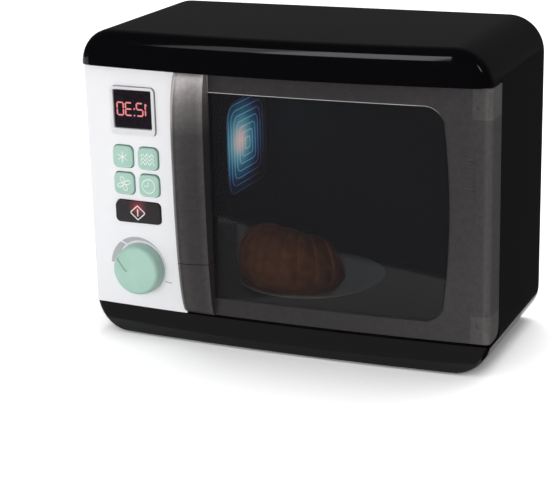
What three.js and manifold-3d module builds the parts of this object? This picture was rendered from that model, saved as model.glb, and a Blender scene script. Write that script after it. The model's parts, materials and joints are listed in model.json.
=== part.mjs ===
import * as THREE from 'three';
import { mergeVertices } from 'three/addons/utils/BufferGeometryUtils.js';
import Module from 'manifold-3d';

const wasm = await Module();
wasm.setup();

// A toy microwave oven, in millimetres. It stands on its feet at z = 0 and faces -Y.
// While it is built, y = 0 is the middle of the control panel's face; the last lines centre it.

// The column of controls sets the housing's height: each rise is measured from the piece below
const bandTop = 21.4;
const knobRise = 29.7;
const startRise = 39.9;
const buttonRise = 38.9;
const displayRise = 32.8;
const displayDrop = 30.8;
const hoodHeight = 24;
const knobZ = bandTop + knobRise;
const startZ = knobZ + startRise;
const buttonRowZ = startZ + buttonRise;
const displayZ = buttonRowZ + displayRise;
const hoodBottom = displayZ + displayDrop;
const housingTop = hoodBottom + hoodHeight;

// Housing
const housingWidth = 290;
const footDrop = 1;
const cornerRadius = 24.6;
const wall = 2.5;
const panelBow = 5.5;
const seamPlace = 80.7;
const seamGap = 0.3;
const housingBack = 129.5;
const backEdgeRadius = 1.2;
const half = housingWidth / 2;

// Hood and band, above and below the door
const hoodProud = 11.5;
const hoodBow = 10;
const hoodEdgeRadius = 10;
const bandSideRadius = 3.4;
const bandEdgeRadius = 1.2;
const roomBow = 3.5;

// Skins of the panel and the door, which wrap round the front corners
const skin = 2.4;
const skinGap = 0.6;
const skinCornerRadius = 3.4;
const innerCornerRadius = 0.5;
const wrapDepth = 25.6;
const wrapGap = 0.8;
const touchGap = 0.3;

// Control panel, a column at the left whose middle lies this far from the side
const controlInset = 39.4;
const controlX = controlInset - half;
const panelReach = 34.5;
const panelRight = controlX + panelReach;
const panelGap = 0.3;
const capGap = 0.3;
const displayWidth = 33.9;
const displayHeight = 33.4;
const displayRadius = 3.2;
const displayProud = 2.6;
const screenWidth = 28.6;
const screenHeight = 26.6;
const screenLift = 1.2;
const screenZ = displayZ + screenLift;
const screenRecess = 0.6;
const screenThickness = 1.5;
const buttonSize = 15.4;
const buttonRadius = 4;
const buttonProud = 2;
const buttonPitchX = 19.8;
const buttonPitchZ = 19;
const buttonTravel = 1.5;
const capEdge = 0.8;
const flangeLip = 1.3;
const flangeThickness = 1.4;
const startWidth = 34.8;
const startHeight = 15.1;
const startRadius = 3.6;
const knobRadius = 18.1;
const knobProud = 10.5;
const knobEdge = 1.6;
const knobTaper = 0.5;
const knobFloat = 0.5;
const knobShaftRadius = 3;
const shaftGap = 0.08;
const pointerLength = 11.6;
const pointerWidth = 3.4;
const pointerDepth = 1.4;
const pointerRadius = 10.2;
const pointerPlaceDegrees = 155;
const pointerSlopeDegrees = -54;

// Cavity, between the panel's frame and the hinge side
const cavityPanelGap = 14.1;
const cavityHingeGap = 21;
const cavityFloorRise = 12.6;
const cavityRoofDrop = 7.5;
const cavityBackGap = 11.5;
const cavityLeft = panelRight + cavityPanelGap;
const cavityRight = half - cavityHingeGap;
const cavityFloor = bandTop + cavityFloorRise;
const cavityRoof = hoodBottom - cavityRoofDrop;
const cavityBack = housingBack - cavityBackGap;
const cavityRadius = 8;
const linerWall = 1.8;

// Door
const doorSideGap = 0.6;
const doorLowGap = 2;
const doorTopGap = 1;
const doorLeft = panelRight + doorSideGap;
const doorBottom = bandTop + doorLowGap;
const doorTop = hoodBottom - doorTopGap;
const doorCornerRadius = 8;
const pullWidth = 22;
const pullRight = doorLeft + pullWidth;
const pullProud = 13.8;
const pullStep = 1.6;
const pullPeakRise = 116.6;
const pullPeakZ = doorBottom + pullPeakRise;
const pullTopSpare = 2.5;
const pullTopReach = doorTop - pullPeakZ + pullTopSpare;
const pullPower = 2.4;
const pullWallShare = 0.62;
const windowPullGap = 0.6;
const windowHingeGap = 27.3;
const windowLowGap = 12.6;
const windowTopGap = 13;
const windowLeft = pullRight + windowPullGap;
const windowRight = half - windowHingeGap;
const windowBottom = doorBottom + windowLowGap;
const windowTop = doorTop - windowTopGap;
const windowRadius = 13;
const windowRaise = 1;
const windowSideBulge = 3.4;

// Hinge
const hingeInset = 4.5;
const hingeX = half - hingeInset;
const hingeY = 20.5;
const socketRadius = 7.4;
const socketWall = 2;
const knuckleRadius = 3.9;
const hingeBlockWidth = 12.8;
const hingeBlockLeft = half - hingeBlockWidth;
const hingeBlockBack = 17;
const topBlockHeight = 20.5;
const lowBlockHeight = 18.6;
const topBlockBottom = doorTop - topBlockHeight;
const lowBlockTop = doorBottom + lowBlockHeight;
const hingePinRadius = 1.5;
const hingePinGap = 0.08;
const hingePinReach = 12;
const lowPinDepth = 3.8;
const topPinDepth = 7.5;
const pinBossRadius = 4.5;
const pinBossHeight = 10;
const pinShoulderRadius = 3;
const blockGap = 0.8;

// Frame openings and fasteners behind the panel
const controlWindowWidth = 49.5;
const controlWindowMargin = 9.6;
const controlWindowLeft = controlX - controlWindowWidth / 2;
const controlWindowRight = controlX + controlWindowWidth / 2;
const controlWindowBottom = bandTop + controlWindowMargin;
const controlWindowTop = hoodBottom - controlWindowMargin;
const panelScrewSide = 10.4;
const panelScrewEdge = 4.4;
const panelScrewRise = 20;
const panelScrewDrop = 17.5;
const panelScrewLeft = panelScrewSide - half;
const panelScrewRight = panelRight - panelScrewEdge;
const panelScrewLow = bandTop + panelScrewRise;
const panelScrewHigh = hoodBottom - panelScrewDrop;
const panelBossRadius = 3;
const panelBossGap = 0.3;
const screwShankRadius = 1.3;
const screwClearance = 0.25;
const screwHeadRadius = 3.4;
const screwHeadHeight = 2;
const screwBite = 5;
const panelScrewBite = 4;

// Circuit board and what it carries
const boardFront = 16;
const boardThickness = 1.6;
const boardWidth = 52;
const boardMargin = 8.6;
const boardLeft = controlX - boardWidth / 2;
const boardRight = controlX + boardWidth / 2;
const boardBottom = bandTop + boardMargin;
const boardTop = hoodBottom - boardMargin;
const postSpread = 21;
const postMargin = 6.5;
const postLeft = controlX - postSpread;
const postRight = controlX + postSpread;
const postLow = boardBottom + postMargin;
const postHigh = boardTop - postMargin;
const postRadius = 2.2;
const matThickness = 1.2;
const domeHeight = 2.3;
const domeRadius = 4;
const stemRadius = 2.4;
const stemGap = 0.3;
const moduleGap = 1.2;
const moduleWidth = screenWidth - 2 * capEdge - 2 * moduleGap;
const moduleHeight = 12.5;
const moduleDepth = 7;
const switchSize = 22;
const switchDepth = 6;
const chipSize = 9;
const chipHeight = 1.8;
const lampRadius = 1.5;
const collarRadius = 6.5;
const collarThickness = 1.6;

// Lens and lamp in the cavity's left wall
const lensBackGap = 38;
const lensY = cavityBack - lensBackGap;
const lensRise = 16;
const lensZ = (cavityFloor + cavityRoof) / 2 + lensRise;
const lensSize = 68;
const lensRadius = 14;
const lensFlange = 3;
const lensFlangeThickness = 1.5;
const lensRidgePitch = 4.8;
const lensRidgeCount = Math.floor((lensSize / lensRidgePitch - 1) / 2);
const lensRidgeWidth = 1.6;
const lensRidgeHeight = 0.9;
const lampHousingSize = 58;
const lampHousingDepth = 13;
const lampHousingWall = 1.5;
const lampLedRadius = 4;
const lampLedHeight = 6;

// Speaker
const speakerRise = 34.6;
const speakerZ = bandTop + speakerRise;
const speakerRadius = 20;
const speakerDepth = 8;
const speakerMagnetRadius = 9;
const speakerMagnetDepth = 5;
const speakerCollar = 1.6;
const speakerSlots = 5;
const speakerSlotWidth = 3;
const speakerSlotPitch = 6;

// Batteries
const batteryRadius = 7.1;
const batteryLength = 49.5;
const batteryNubRadius = 2.6;
const batteryNubHeight = 1;
const batteryCount = 3;
const batteryPitch = 15;
const batterySpeakerGap = 14.1;
const batteryBoxBottom = speakerZ + speakerRadius + speakerCollar + touchGap + batterySpeakerGap;
const batteryBoxWall = 1.6;
const batterySide = 0.6;
const batteryEnd = 2.4;
const screwShelf = 11;
const coverThickness = 2.2;
const coverGap = 0.4;
const coverMargin = 3;
const coverRadius = 3;
const contactThickness = 0.5;

// Housing screws and feet
const bossInset = 13;
const bossX = half - bossInset;
const bossLow = 17;
const bossDrop = 16.5;
const bossHigh = housingTop - bossDrop;
const bossRadius = 4.2;
const housingScrewRadius = 1.5;
const housingHeadRadius = 3.2;
const housingHeadHeight = 2.4;
const screwWell = 38;
const housingScrewBite = 14;
const footRadius = 7;
const footInset = 33;
const footX = half - footInset;
const footFront = 24;
const footBackInset = 17.5;
const footBack = housingBack - footBackInset;
const footPegRadius = 2.5;
const footPegHeight = 6;

// Latch
const latchRise = 25.6;
const latchZ = bandTop + latchRise;
const latchInset = 6.5;
const latchX = doorLeft + latchInset;
const tongueThickness = 2;
const tongueHeight = 8;
const tongueReach = 9.5;
const tongueGap = 0.8;
const latchLeaf = 1.2;
const latchPad = 5;

// Plate and croissant on the cavity's floor
const plateRadius = 52;
const plateLeftGap = 2;
const plateBackGap = 2;
const plateX = cavityLeft + plateRadius + plateLeftGap;
const plateY = cavityBack - plateRadius - plateBackGap;
const plateThickness = 1.8;
const plateRim = 3.2;
const plateWell = 43;
const croissantX = plateX - 4;
const croissantY = plateY - 6;
const croissantRing = 25;
const croissantThick = 22;
const croissantThin = 13;
const croissantSweepDegrees = 205;
const croissantTurnDegrees = -110;
const croissantStations = 18;
const croissantSides = 10;
const croissantRidgeEvery = 3;
const croissantRiseShare = 1;
const croissantFlatShare = 0.9;
const croissantRidgeShare = 0.05;
const croissantTaperShare = 0.5;

// Wires
const wireRadius = 1.1;
const wireSteps = 20;
const wireArcSteps = 3;

// Facets and overruns
const cornerSteps = 5;
const arcSteps = 3;
const ridgeArcSteps = 2;
const bowSteps = 8;
const roundSteps = 4;
const circleSteps = 24;
const smallCircleSteps = 12;
const pullColumns = 8;
const pullRows = 20;
const overrun = 5;

// Shapes and solids

function toSolid(geometry) {
  const bare = geometry.index ? geometry.clone() : mergeVertices(strip(geometry));
  const merged = mergeVertices(strip(bare));
  return new wasm.Manifold(new wasm.Mesh({
    numProp: 3,
    vertProperties: new Float32Array(merged.attributes.position.array),
    triVerts: new Uint32Array(merged.index.array),
  }));
}

function strip(geometry) {
  geometry.deleteAttribute('normal');
  geometry.deleteAttribute('uv');
  return geometry;
}

function toGeometry(solid) {
  const mesh = solid.getMesh();
  const geometry = new THREE.BufferGeometry();
  geometry.setAttribute('position', new THREE.BufferAttribute(mesh.vertProperties, mesh.numProp));
  geometry.setIndex(new THREE.BufferAttribute(mesh.triVerts, 1));
  geometry.computeVertexNormals();
  return geometry;
}

const toRight = new THREE.Vector3(1, 0, 0);
const toBack = new THREE.Vector3(0, 1, 0);
const up = new THREE.Vector3(0, 0, 1);
const axes = {
  x: new THREE.Matrix4().makeBasis(toBack, up, toRight),
  y: new THREE.Matrix4().makeBasis(toRight, up, toBack.clone().negate()),
  z: new THREE.Matrix4(),
};

// A shape pushed along an axis from low to high.
// Along x the shape lies in (y, z), along y in (x, z) and along z in (x, y).
function prism(axis, shape, low, high, curveSegments = arcSteps) {
  const depth = high - low;
  const geometry = new THREE.ExtrudeGeometry(shape, { depth, bevelEnabled: false, curveSegments });
  geometry.applyMatrix4(axes[axis]);
  const start = axis === 'y' ? high : low;
  geometry.translate(...{ x: [start, 0, 0], y: [0, start, 0], z: [0, 0, start] }[axis]);
  return toSolid(geometry);
}

function polygon(points) {
  return new THREE.Shape(points.map(([u, v]) => new THREE.Vector2(u, v)));
}

function roundedShape(centreU, centreV, width, height, radius) {
  const shape = new THREE.Shape();
  const left = centreU - width / 2;
  const right = centreU + width / 2;
  const low = centreV - height / 2;
  const high = centreV + height / 2;
  shape.moveTo(left + radius, low);
  shape.lineTo(right - radius, low);
  shape.absarc(right - radius, low + radius, radius, -Math.PI / 2, 0);
  shape.lineTo(right, high - radius);
  shape.absarc(right - radius, high - radius, radius, 0, Math.PI / 2);
  shape.lineTo(left + radius, high);
  shape.absarc(left + radius, high - radius, radius, Math.PI / 2, Math.PI);
  shape.lineTo(left, low + radius);
  shape.absarc(left + radius, low + radius, radius, Math.PI, 3 * Math.PI / 2);
  return shape;
}

function box(x0, x1, y0, y1, z0, z1) {
  const geometry = new THREE.BoxGeometry(x1 - x0, y1 - y0, z1 - z0);
  geometry.translate((x0 + x1) / 2, (y0 + y1) / 2, (z0 + z1) / 2);
  return toSolid(geometry);
}

function rod(axis, u, v, radius, low, high, steps = circleSteps) {
  const geometry = new THREE.CylinderGeometry(radius, radius, high - low, steps);
  geometry.rotateX(Math.PI / 2);
  geometry.translate(0, 0, (low + high) / 2);
  if (axis === 'y') {
    geometry.rotateX(-Math.PI / 2);
    geometry.translate(u, 0, v);
  } else if (axis === 'x') {
    geometry.rotateY(Math.PI / 2);
    geometry.translate(0, u, v);
  } else {
    geometry.translate(u, v, 0);
  }
  return toSolid(geometry);
}

function smallRod(axis, u, v, radius, low, high) {
  return rod(axis, u, v, radius, low, high, smallCircleSteps);
}

// A turned body: the profile is (radius, distance along the axis), from the axis round and back to it.
function turned(axis, u, v, profile, steps = circleSteps) {
  const geometry = new THREE.LatheGeometry(profile.map(([r, d]) => new THREE.Vector2(r, d)), steps);
  if (axis === 'z') {
    geometry.rotateX(Math.PI / 2);
    geometry.translate(u, v, 0);
  } else {
    geometry.translate(u, 0, v);
  }
  return toSolid(geometry);
}

// The bowed face of the panel and the door
function face(x) {
  return panelBow * (x / half) ** 2;
}

function hoodFace(x) {
  return hoodBow * (x / half) ** 2 - hoodProud;
}

// The housing's outline as columns: for each x, how far the edge is from the top and the bottom.
function outlineColumns(insetSide, insetEnd) {
  const width = half - insetSide;
  const radiusX = cornerRadius - insetSide;
  const radiusZ = cornerRadius - insetEnd;
  const flat = width - radiusX;
  const left = [];
  for (let i = 0; i <= cornerSteps; i += 1) {
    const angle = Math.PI / 2 * i / cornerSteps;
    left.push([-(flat + radiusX * Math.cos(angle)), radiusZ * (1 - Math.sin(angle))]);
  }
  const middle = [];
  for (let i = 1; i < bowSteps; i += 1) {
    middle.push([flat * (2 * i / bowSteps - 1), 0]);
  }
  const right = left.map(([x, drop]) => [-x, drop]).reverse();
  return [...left, ...middle, ...right].map(([x, drop]) => ({
    x,
    low: footDrop + insetEnd + drop,
    high: housingTop - insetEnd - drop,
  }));
}

function outlineRing(insetSide, insetEnd, place) {
  const columns = outlineColumns(insetSide, insetEnd);
  const upper = columns.map(({ x, high }) => [x, place(x), high]);
  const lower = columns.map(({ x, low }) => [x, place(x), low]).reverse();
  return [...upper, ...lower];
}

// A closed body through rings of equal count, front to back.
// Its ends are strips between the upper and the lower half of a ring.
function loft(rings) {
  const count = rings[0].length;
  const positions = rings.flat(2);
  const triangles = [];
  const quad = (a, b, c, d) => triangles.push(a, b, c, a, c, d);
  for (let k = 0; k + 1 < rings.length; k += 1) {
    for (let j = 0; j < count; j += 1) {
      const next = (j + 1) % count;
      quad(k * count + j, k * count + next, (k + 1) * count + next, (k + 1) * count + j);
    }
  }
  const last = (rings.length - 1) * count;
  for (let i = 0; i + 1 < count / 2; i += 1) {
    const low = count - 1 - i;
    quad(i, low, low - 1, i + 1);
    quad(last + i, last + i + 1, last + low - 1, last + low);
  }
  const geometry = new THREE.BufferGeometry();
  geometry.setAttribute('position', new THREE.BufferAttribute(new Float32Array(positions), 3));
  geometry.setIndex(triangles);
  return toSolid(geometry);
}

// The housing's outer form from a rounded front edge to a flat plane behind
function roundedBlock(front, sideRadius, endRadius, back) {
  const rings = [];
  for (let k = 0; k <= roundSteps; k += 1) {
    const angle = Math.PI / 2 * k / roundSteps;
    const inset = 1 - Math.sin(angle);
    const depth = sideRadius * (1 - Math.cos(angle));
    rings.push(outlineRing(sideRadius * inset, endRadius * inset, (x) => front(x) + depth));
  }
  rings.push(outlineRing(0, 0, () => back));
  return loft(rings);
}

function insetBlock(inset, front, back) {
  return loft([outlineRing(inset, inset, front), outlineRing(inset, inset, () => back)]);
}

// The line of a skin in plan, from its tip on the left wall to an edge on the face
function skinLine(inset, tip, edge) {
  const points = [[-(half - inset), tip]];
  const radius = Math.max(skinCornerRadius - inset, innerCornerRadius);
  const centre = -(half - inset - radius);
  const centreY = face(centre) + inset + radius;
  for (let i = 0; i <= cornerSteps; i += 1) {
    const angle = Math.PI / 2 * i / cornerSteps;
    points.push([centre - radius * Math.cos(angle), centreY - radius * Math.sin(angle)]);
  }
  for (let i = 1; i <= bowSteps; i += 1) {
    const x = centre + (edge - centre) * i / bowSteps;
    points.push([x, face(x) + inset]);
  }
  return points;
}

function mirrored(points) {
  return points.map(([x, y]) => [-x, y]);
}

function skinShape(edge) {
  return polygon([...skinLine(0, wrapDepth, edge), ...skinLine(skin, wrapDepth, edge).reverse()]);
}

// The plan of the housing between hood and band: inset by room under the skins, full width behind them
function frameShape(extra, back) {
  const inset = skin + skinGap + extra;
  const step = wrapDepth + wrapGap + extra;
  const left = skinLine(inset, step, 0);
  const right = mirrored(skinLine(inset, step, 0)).reverse();
  return polygon([
    [-(half - extra), back],
    [-(half - extra), step],
    ...left,
    ...right.slice(1),
    [half - extra, step],
    [half - extra, back],
  ]);
}

const frameInset = skin + skinGap;
const frameBackInset = frameInset + wall;

// Bosses and screws that join the two shells
const bossPlaces = [[-bossX, bossLow], [bossX, bossLow], [-bossX, bossHigh], [bossX, bossHigh]];

function makeFrontShell() {
  const back = seamPlace;
  const slabTop = box(-housingWidth, housingWidth, -housingWidth, back, hoodBottom, housingTop + overrun);
  const slabLow = box(-housingWidth, housingWidth, -housingWidth, back, 0, bandTop);
  const hood = roundedBlock(hoodFace, hoodEdgeRadius, hoodEdgeRadius, back).intersect(slabTop);
  const band = roundedBlock(face, bandSideRadius, bandEdgeRadius, back).intersect(slabLow);
  const outline = insetBlock(0, () => -overrun, back);
  const middle = prism('z', frameShape(0, back), bandTop - wall, hoodBottom + wall).intersect(outline);
  const beyond = back + overrun;
  const within = (inset) => insetBlock(inset, () => -housingBack, beyond);
  const hollow = prism('z', frameShape(wall, beyond), 0, housingTop).intersect(within(wall));
  const hoodRoom = prism('z', polygon([
    ...outlineColumns(wall, wall).map(({ x }) => [x, hoodFace(x) + wall + roomBow * (x / half) ** 2]),
    [half - wall, beyond],
    [-(half - wall), beyond],
  ]), hoodBottom + wall, housingTop).intersect(within(wall + wall));
  const bandRoom = prism('z', polygon([
    ...outlineColumns(wall, wall).map(({ x }) => [x, face(x) + wall + roomBow * (x / half) ** 2]),
    [half - wall, beyond],
    [-(half - wall), beyond],
  ]), 0, bandTop - wall).intersect(within(wall + wall));
  let shell = hood.add(band).add(middle).subtract(hollow).subtract(hoodRoom).subtract(bandRoom);
  // The socket that the door's wrapped edge turns in, and the bosses that hold its pins
  shell = shell.add(rod('z', hingeX, hingeY, socketRadius + socketWall, bandTop - wall, hoodBottom + wall)
    .intersect(middle));
  shell = shell.subtract(rod('z', hingeX, hingeY, socketRadius, bandTop, hoodBottom));
  for (const [low, high] of [[bandTop, lowBlockTop + blockGap], [topBlockBottom - blockGap, hoodBottom]]) {
    shell = shell.subtract(box(hingeBlockLeft - blockGap, half + overrun,
      -overrun, hingeBlockBack + blockGap, low, high));
  }
  shell = shell.add(smallRod('z', hingeX, hingeY, pinBossRadius, bandTop - pinBossHeight, bandTop)
    .intersect(insetBlock(0, () => -overrun, back)));
  shell = shell.add(smallRod('z', hingeX, hingeY, pinBossRadius, hoodBottom, hoodBottom + pinBossHeight)
    .intersect(insetBlock(0, () => -overrun, back)));
  const pinHole = hingePinRadius + hingePinGap;
  shell = shell.subtract(smallRod('z', hingeX, hingeY, pinHole, bandTop - lowPinDepth, bandTop));
  shell = shell.subtract(smallRod('z', hingeX, hingeY, pinHole, hoodBottom, hoodBottom + topPinDepth));
  // Openings for the cavity, the controls, the panel's bosses and the latch
  const cavity = roundedShape((cavityLeft + cavityRight) / 2, (cavityFloor + cavityRoof) / 2,
    cavityRight - cavityLeft, cavityRoof - cavityFloor, cavityRadius);
  shell = shell.subtract(prism('y', cavity, -overrun, seamPlace / 2));
  shell = shell.subtract(box(controlWindowLeft, controlWindowRight, -overrun, seamPlace / 2,
    controlWindowBottom, controlWindowTop));
  for (const [x, z] of panelScrewPlaces) {
    shell = shell.subtract(smallRod('y', x, z, panelBossRadius + panelBossGap, 0, seamPlace / 2));
  }
  const slot = tongueThickness / 2 + tongueGap;
  shell = shell.subtract(box(latchX - slot, latchX + slot, 0, seamPlace / 2,
    latchZ - tongueHeight / 2 - tongueGap, latchZ + tongueHeight / 2 + tongueGap));
  // Bosses of the housing screws, rooted in the hood's and the band's front walls
  for (const [x, z] of bossPlaces) {
    const root = z > housingTop / 2 ? hoodFace(x) + wall / 2 : face(x) + wall;
    shell = shell.add(smallRod('y', x, z, bossRadius, root, back - touchGap));
    shell = shell.subtract(smallRod('y', x, z, housingScrewRadius + screwClearance,
      back - housingScrewBite - overrun, back));
  }
  for (const x of [-footX, footX]) {
    const hole = footPegRadius + screwClearance;
    shell = shell.subtract(smallRod('z', x, footFront, hole, 0, footDrop + wall + wall));
  }
  return shell;
}

const panelScrewPlaces = [
  [panelScrewLeft, panelScrewLow],
  [panelScrewRight, panelScrewLow],
  [panelScrewLeft, panelScrewHigh],
  [panelScrewRight, panelScrewHigh],
];

// Battery compartment: its box, cover and cells share these places
const batteryRoomWidth = batteryPitch * (batteryCount - 1) + 2 * (batteryRadius + batterySide);
const batteryRoomBottom = batteryBoxBottom + screwShelf;
const batteryRoomTop = batteryRoomBottom + batteryLength + batteryNubHeight + 2 * batteryEnd;
const batteryBoxTop = batteryRoomTop + batteryBoxWall;
const backInner = housingBack - wall;
const batteryBoxRim = backInner - touchGap;
const batteryY = batteryBoxRim - batterySide - batteryRadius;
const batteryBoxFront = batteryY - batteryRadius - batterySide - batteryBoxWall;
const coverWidth = batteryRoomWidth + coverMargin;
const coverLow = batteryBoxBottom + coverMargin / 2;
const coverHigh = batteryRoomTop + coverMargin / 4;
const coverZ = (coverLow + coverHigh) / 2;
const coverScrewZ = batteryBoxBottom + screwShelf / 2;

function makeRearShell() {
  const front = seamPlace + seamGap;
  const rings = [outlineRing(0, 0, () => front)];
  for (let k = 0; k <= roundSteps; k += 1) {
    const angle = Math.PI / 2 * k / roundSteps;
    const inset = backEdgeRadius * (1 - Math.cos(angle));
    const place = housingBack - backEdgeRadius * (1 - Math.sin(angle));
    rings.push(outlineRing(inset, inset, () => place));
  }
  let shell = loft(rings).subtract(insetBlock(wall, () => front - overrun, backInner));
  for (const [x, z] of bossPlaces) {
    const head = housingBack - screwWell;
    shell = shell.add(smallRod('y', x, z, bossRadius, front + touchGap, backInner + wall / 2));
    const well = housingHeadRadius + screwClearance;
    shell = shell.subtract(smallRod('y', x, z, well, head, housingBack + overrun));
    shell = shell.subtract(smallRod('y', x, z, housingScrewRadius + screwClearance, front, head));
  }
  shell = shell.subtract(prism('y', roundedShape(controlX, coverZ, coverWidth + 2 * coverGap,
    coverHigh - coverLow + 2 * coverGap, coverRadius), backInner - overrun, housingBack + overrun));
  // Ribs that press the cavity liner forward, and the collar and slots of the speaker
  const ribHalf = wall / 2;
  for (const x of [cavityLeft + cavityRadius * 2, cavityRight - cavityRadius * 2]) {
    shell = shell.add(box(x - ribHalf, x + ribHalf, cavityBack + linerWall + touchGap, backInner + ribHalf,
      cavityFloor, cavityRoof));
  }
  const collarOuter = speakerRadius + touchGap + speakerCollar;
  const collarTube = rod('y', controlX, speakerZ, collarOuter, backInner - speakerDepth, backInner + ribHalf)
    .subtract(rod('y', controlX, speakerZ, speakerRadius + touchGap, 0, backInner));
  shell = shell.add(collarTube);
  for (let i = 0; i < speakerSlots; i += 1) {
    const offset = (i - (speakerSlots - 1) / 2) * speakerSlotPitch;
    const reach = Math.sqrt((speakerRadius - speakerSlotPitch) ** 2 - offset ** 2);
    shell = shell.subtract(prism('y', roundedShape(controlX + offset, speakerZ, speakerSlotWidth, 2 * reach,
      speakerSlotWidth / 2 - touchGap), backInner - ribHalf, housingBack + overrun));
  }
  for (const x of [-footX, footX]) {
    const hole = footPegRadius + screwClearance;
    shell = shell.subtract(smallRod('z', x, footBack, hole, 0, footDrop + wall + wall));
  }
  return shell;
}

function makeCavityLiner() {
  const width = cavityRight - cavityLeft;
  const height = cavityRoof - cavityFloor;
  const x = (cavityLeft + cavityRight) / 2;
  const z = (cavityFloor + cavityRoof) / 2;
  const [outerWidth, outerHeight] = [width + 2 * linerWall, height + 2 * linerWall];
  const outline = roundedShape(x, z, outerWidth, outerHeight, cavityRadius + linerWall);
  const outer = prism('y', outline, 0, cavityBack + linerWall);
  const inner = prism('y', roundedShape(x, z, width, height, cavityRadius), -overrun, cavityBack);
  const behindFrame = polygon([
    ...outlineColumns(wall, wall).map((column) => [column.x, face(column.x) + frameBackInset + touchGap]),
    [half - wall, housingBack],
    [-(half - wall), housingBack],
  ]);
  const holeSize = lensSize + 2 * touchGap;
  const lensHole = prism('x', roundedShape(lensY, lensZ, holeSize, holeSize, lensRadius),
    cavityLeft - overrun, cavityLeft + overrun);
  return outer.subtract(inner).intersect(prism('z', behindFrame, 0, housingTop)).subtract(lensHole);
}

// Buttons: place, width, height and corner radius of each cap
const buttonPlaces = {
  star_button: [controlX - buttonPitchX / 2, buttonRowZ],
  waves_button: [controlX + buttonPitchX / 2, buttonRowZ],
  fan_button: [controlX - buttonPitchX / 2, buttonRowZ - buttonPitchZ],
  clock_button: [controlX + buttonPitchX / 2, buttonRowZ - buttonPitchZ],
};
const buttonSizes = Object.fromEntries(Object.entries(buttonPlaces).map(([name, [x, z]]) => (
  [name, { x, z, width: buttonSize, height: buttonSize, radius: buttonRadius }]
)));
buttonSizes.start_button = {
  x: controlX,
  z: startZ,
  width: startWidth,
  height: startHeight,
  radius: startRadius,
};

const postPlaces = [[postLeft, postLow], [postRight, postLow], [postLeft, postHigh], [postRight, postHigh]];

function makeControlPanel() {
  let panel = prism('z', skinShape(panelRight), bandTop + panelGap, hoodBottom - panelGap)
    .intersect(insetBlock(0, () => -overrun, housingBack));
  const depthEnd = frameBackInset + overrun;
  panel = panel.subtract(prism('y', roundedShape(controlX, displayZ, displayWidth + 2 * capGap,
    displayHeight + 2 * capGap, displayRadius), -overrun, depthEnd));
  for (const { x, z, width, height, radius } of Object.values(buttonSizes)) {
    panel = panel.subtract(prism('y', roundedShape(x, z, width + 2 * capGap, height + 2 * capGap, radius),
      -overrun, depthEnd));
  }
  for (const [x, z] of panelScrewPlaces) {
    const tip = face(x) + frameBackInset - touchGap;
    panel = panel.add(smallRod('y', x, z, panelBossRadius, face(x) + skin / 2, tip));
    panel = panel.subtract(smallRod('y', x, z, screwShankRadius + screwClearance, face(x) + skin / 2, tip));
  }
  for (const [x, z] of postPlaces) {
    panel = panel.add(smallRod('y', x, z, postRadius, face(x) + skin / 2, boardFront - touchGap));
    panel = panel.subtract(smallRod('y', x, z, screwShankRadius + screwClearance,
      boardFront - screwBite, boardFront));
  }
  return panel.subtract(rod('y', controlX, knobZ, knobShaftRadius + shaftGap, -overrun, depthEnd));
}

// The bezel stands proud of the panel and reaches back to the display module's board
function makeDisplayFrame() {
  const front = face(controlX) - displayProud;
  const back = boardFront - touchGap;
  const outer = new THREE.ExtrudeGeometry(roundedShape(controlX, displayZ,
    displayWidth - 2 * capEdge, displayHeight - 2 * capEdge, displayRadius - capEdge), {
    depth: back - front - capEdge,
    bevelThickness: capEdge,
    bevelSize: capEdge,
    bevelSegments: 2,
    curveSegments: arcSteps,
  });
  outer.applyMatrix4(axes.y);
  outer.translate(0, back, 0);
  const body = toSolid(outer).intersect(box(-half, 0, front, back, 0, housingTop));
  const recess = prism('y', roundedShape(controlX, screenZ, screenWidth, screenHeight, capEdge),
    front - overrun, front + screenRecess + screenThickness + touchGap);
  const room = box(controlX - screenWidth / 2 + capEdge, controlX + screenWidth / 2 - capEdge,
    front, back + overrun, screenZ - screenHeight / 2 + capEdge, screenZ + screenHeight / 2 - capEdge);
  return body.subtract(recess).subtract(room);
}

function makeDisplayWindow() {
  const front = face(controlX) - displayProud + screenRecess;
  const width = screenWidth - 2 * touchGap;
  const height = screenHeight - 2 * touchGap;
  return prism('y', roundedShape(controlX, screenZ, width, height, capEdge), front, front + screenThickness);
}

function makeDisplayModule() {
  return box(controlX - moduleWidth / 2, controlX + moduleWidth / 2, boardFront - touchGap - moduleDepth,
    boardFront - touchGap, screenZ - moduleHeight / 2, screenZ + moduleHeight / 2);
}

const domeTip = boardFront - touchGap - matThickness - domeHeight;
const stemTip = domeTip - buttonTravel - stemGap;

function makeCap({ x, z, width, height, radius }) {
  const front = face(x) - buttonProud;
  const flangeFront = face(x + Math.sign(x) * width / 2) + skin + touchGap;
  const geometry = new THREE.ExtrudeGeometry(roundedShape(x, z, width - 2 * capEdge, height - 2 * capEdge,
    radius - capEdge), {
    depth: flangeFront - front,
    bevelThickness: capEdge,
    bevelSize: capEdge,
    bevelSegments: 2,
    curveSegments: arcSteps,
  });
  geometry.applyMatrix4(axes.y);
  geometry.translate(0, flangeFront + capEdge, 0);
  const cap = toSolid(geometry).intersect(box(-half, 0, front, flangeFront + capEdge / 2, 0, housingTop));
  const flange = prism('y', roundedShape(x, z, width + 2 * flangeLip, height + 2 * flangeLip, radius),
    flangeFront, flangeFront + flangeThickness);
  return cap.add(flange).add(smallRod('y', x, z, stemRadius, flangeFront, stemTip));
}

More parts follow.
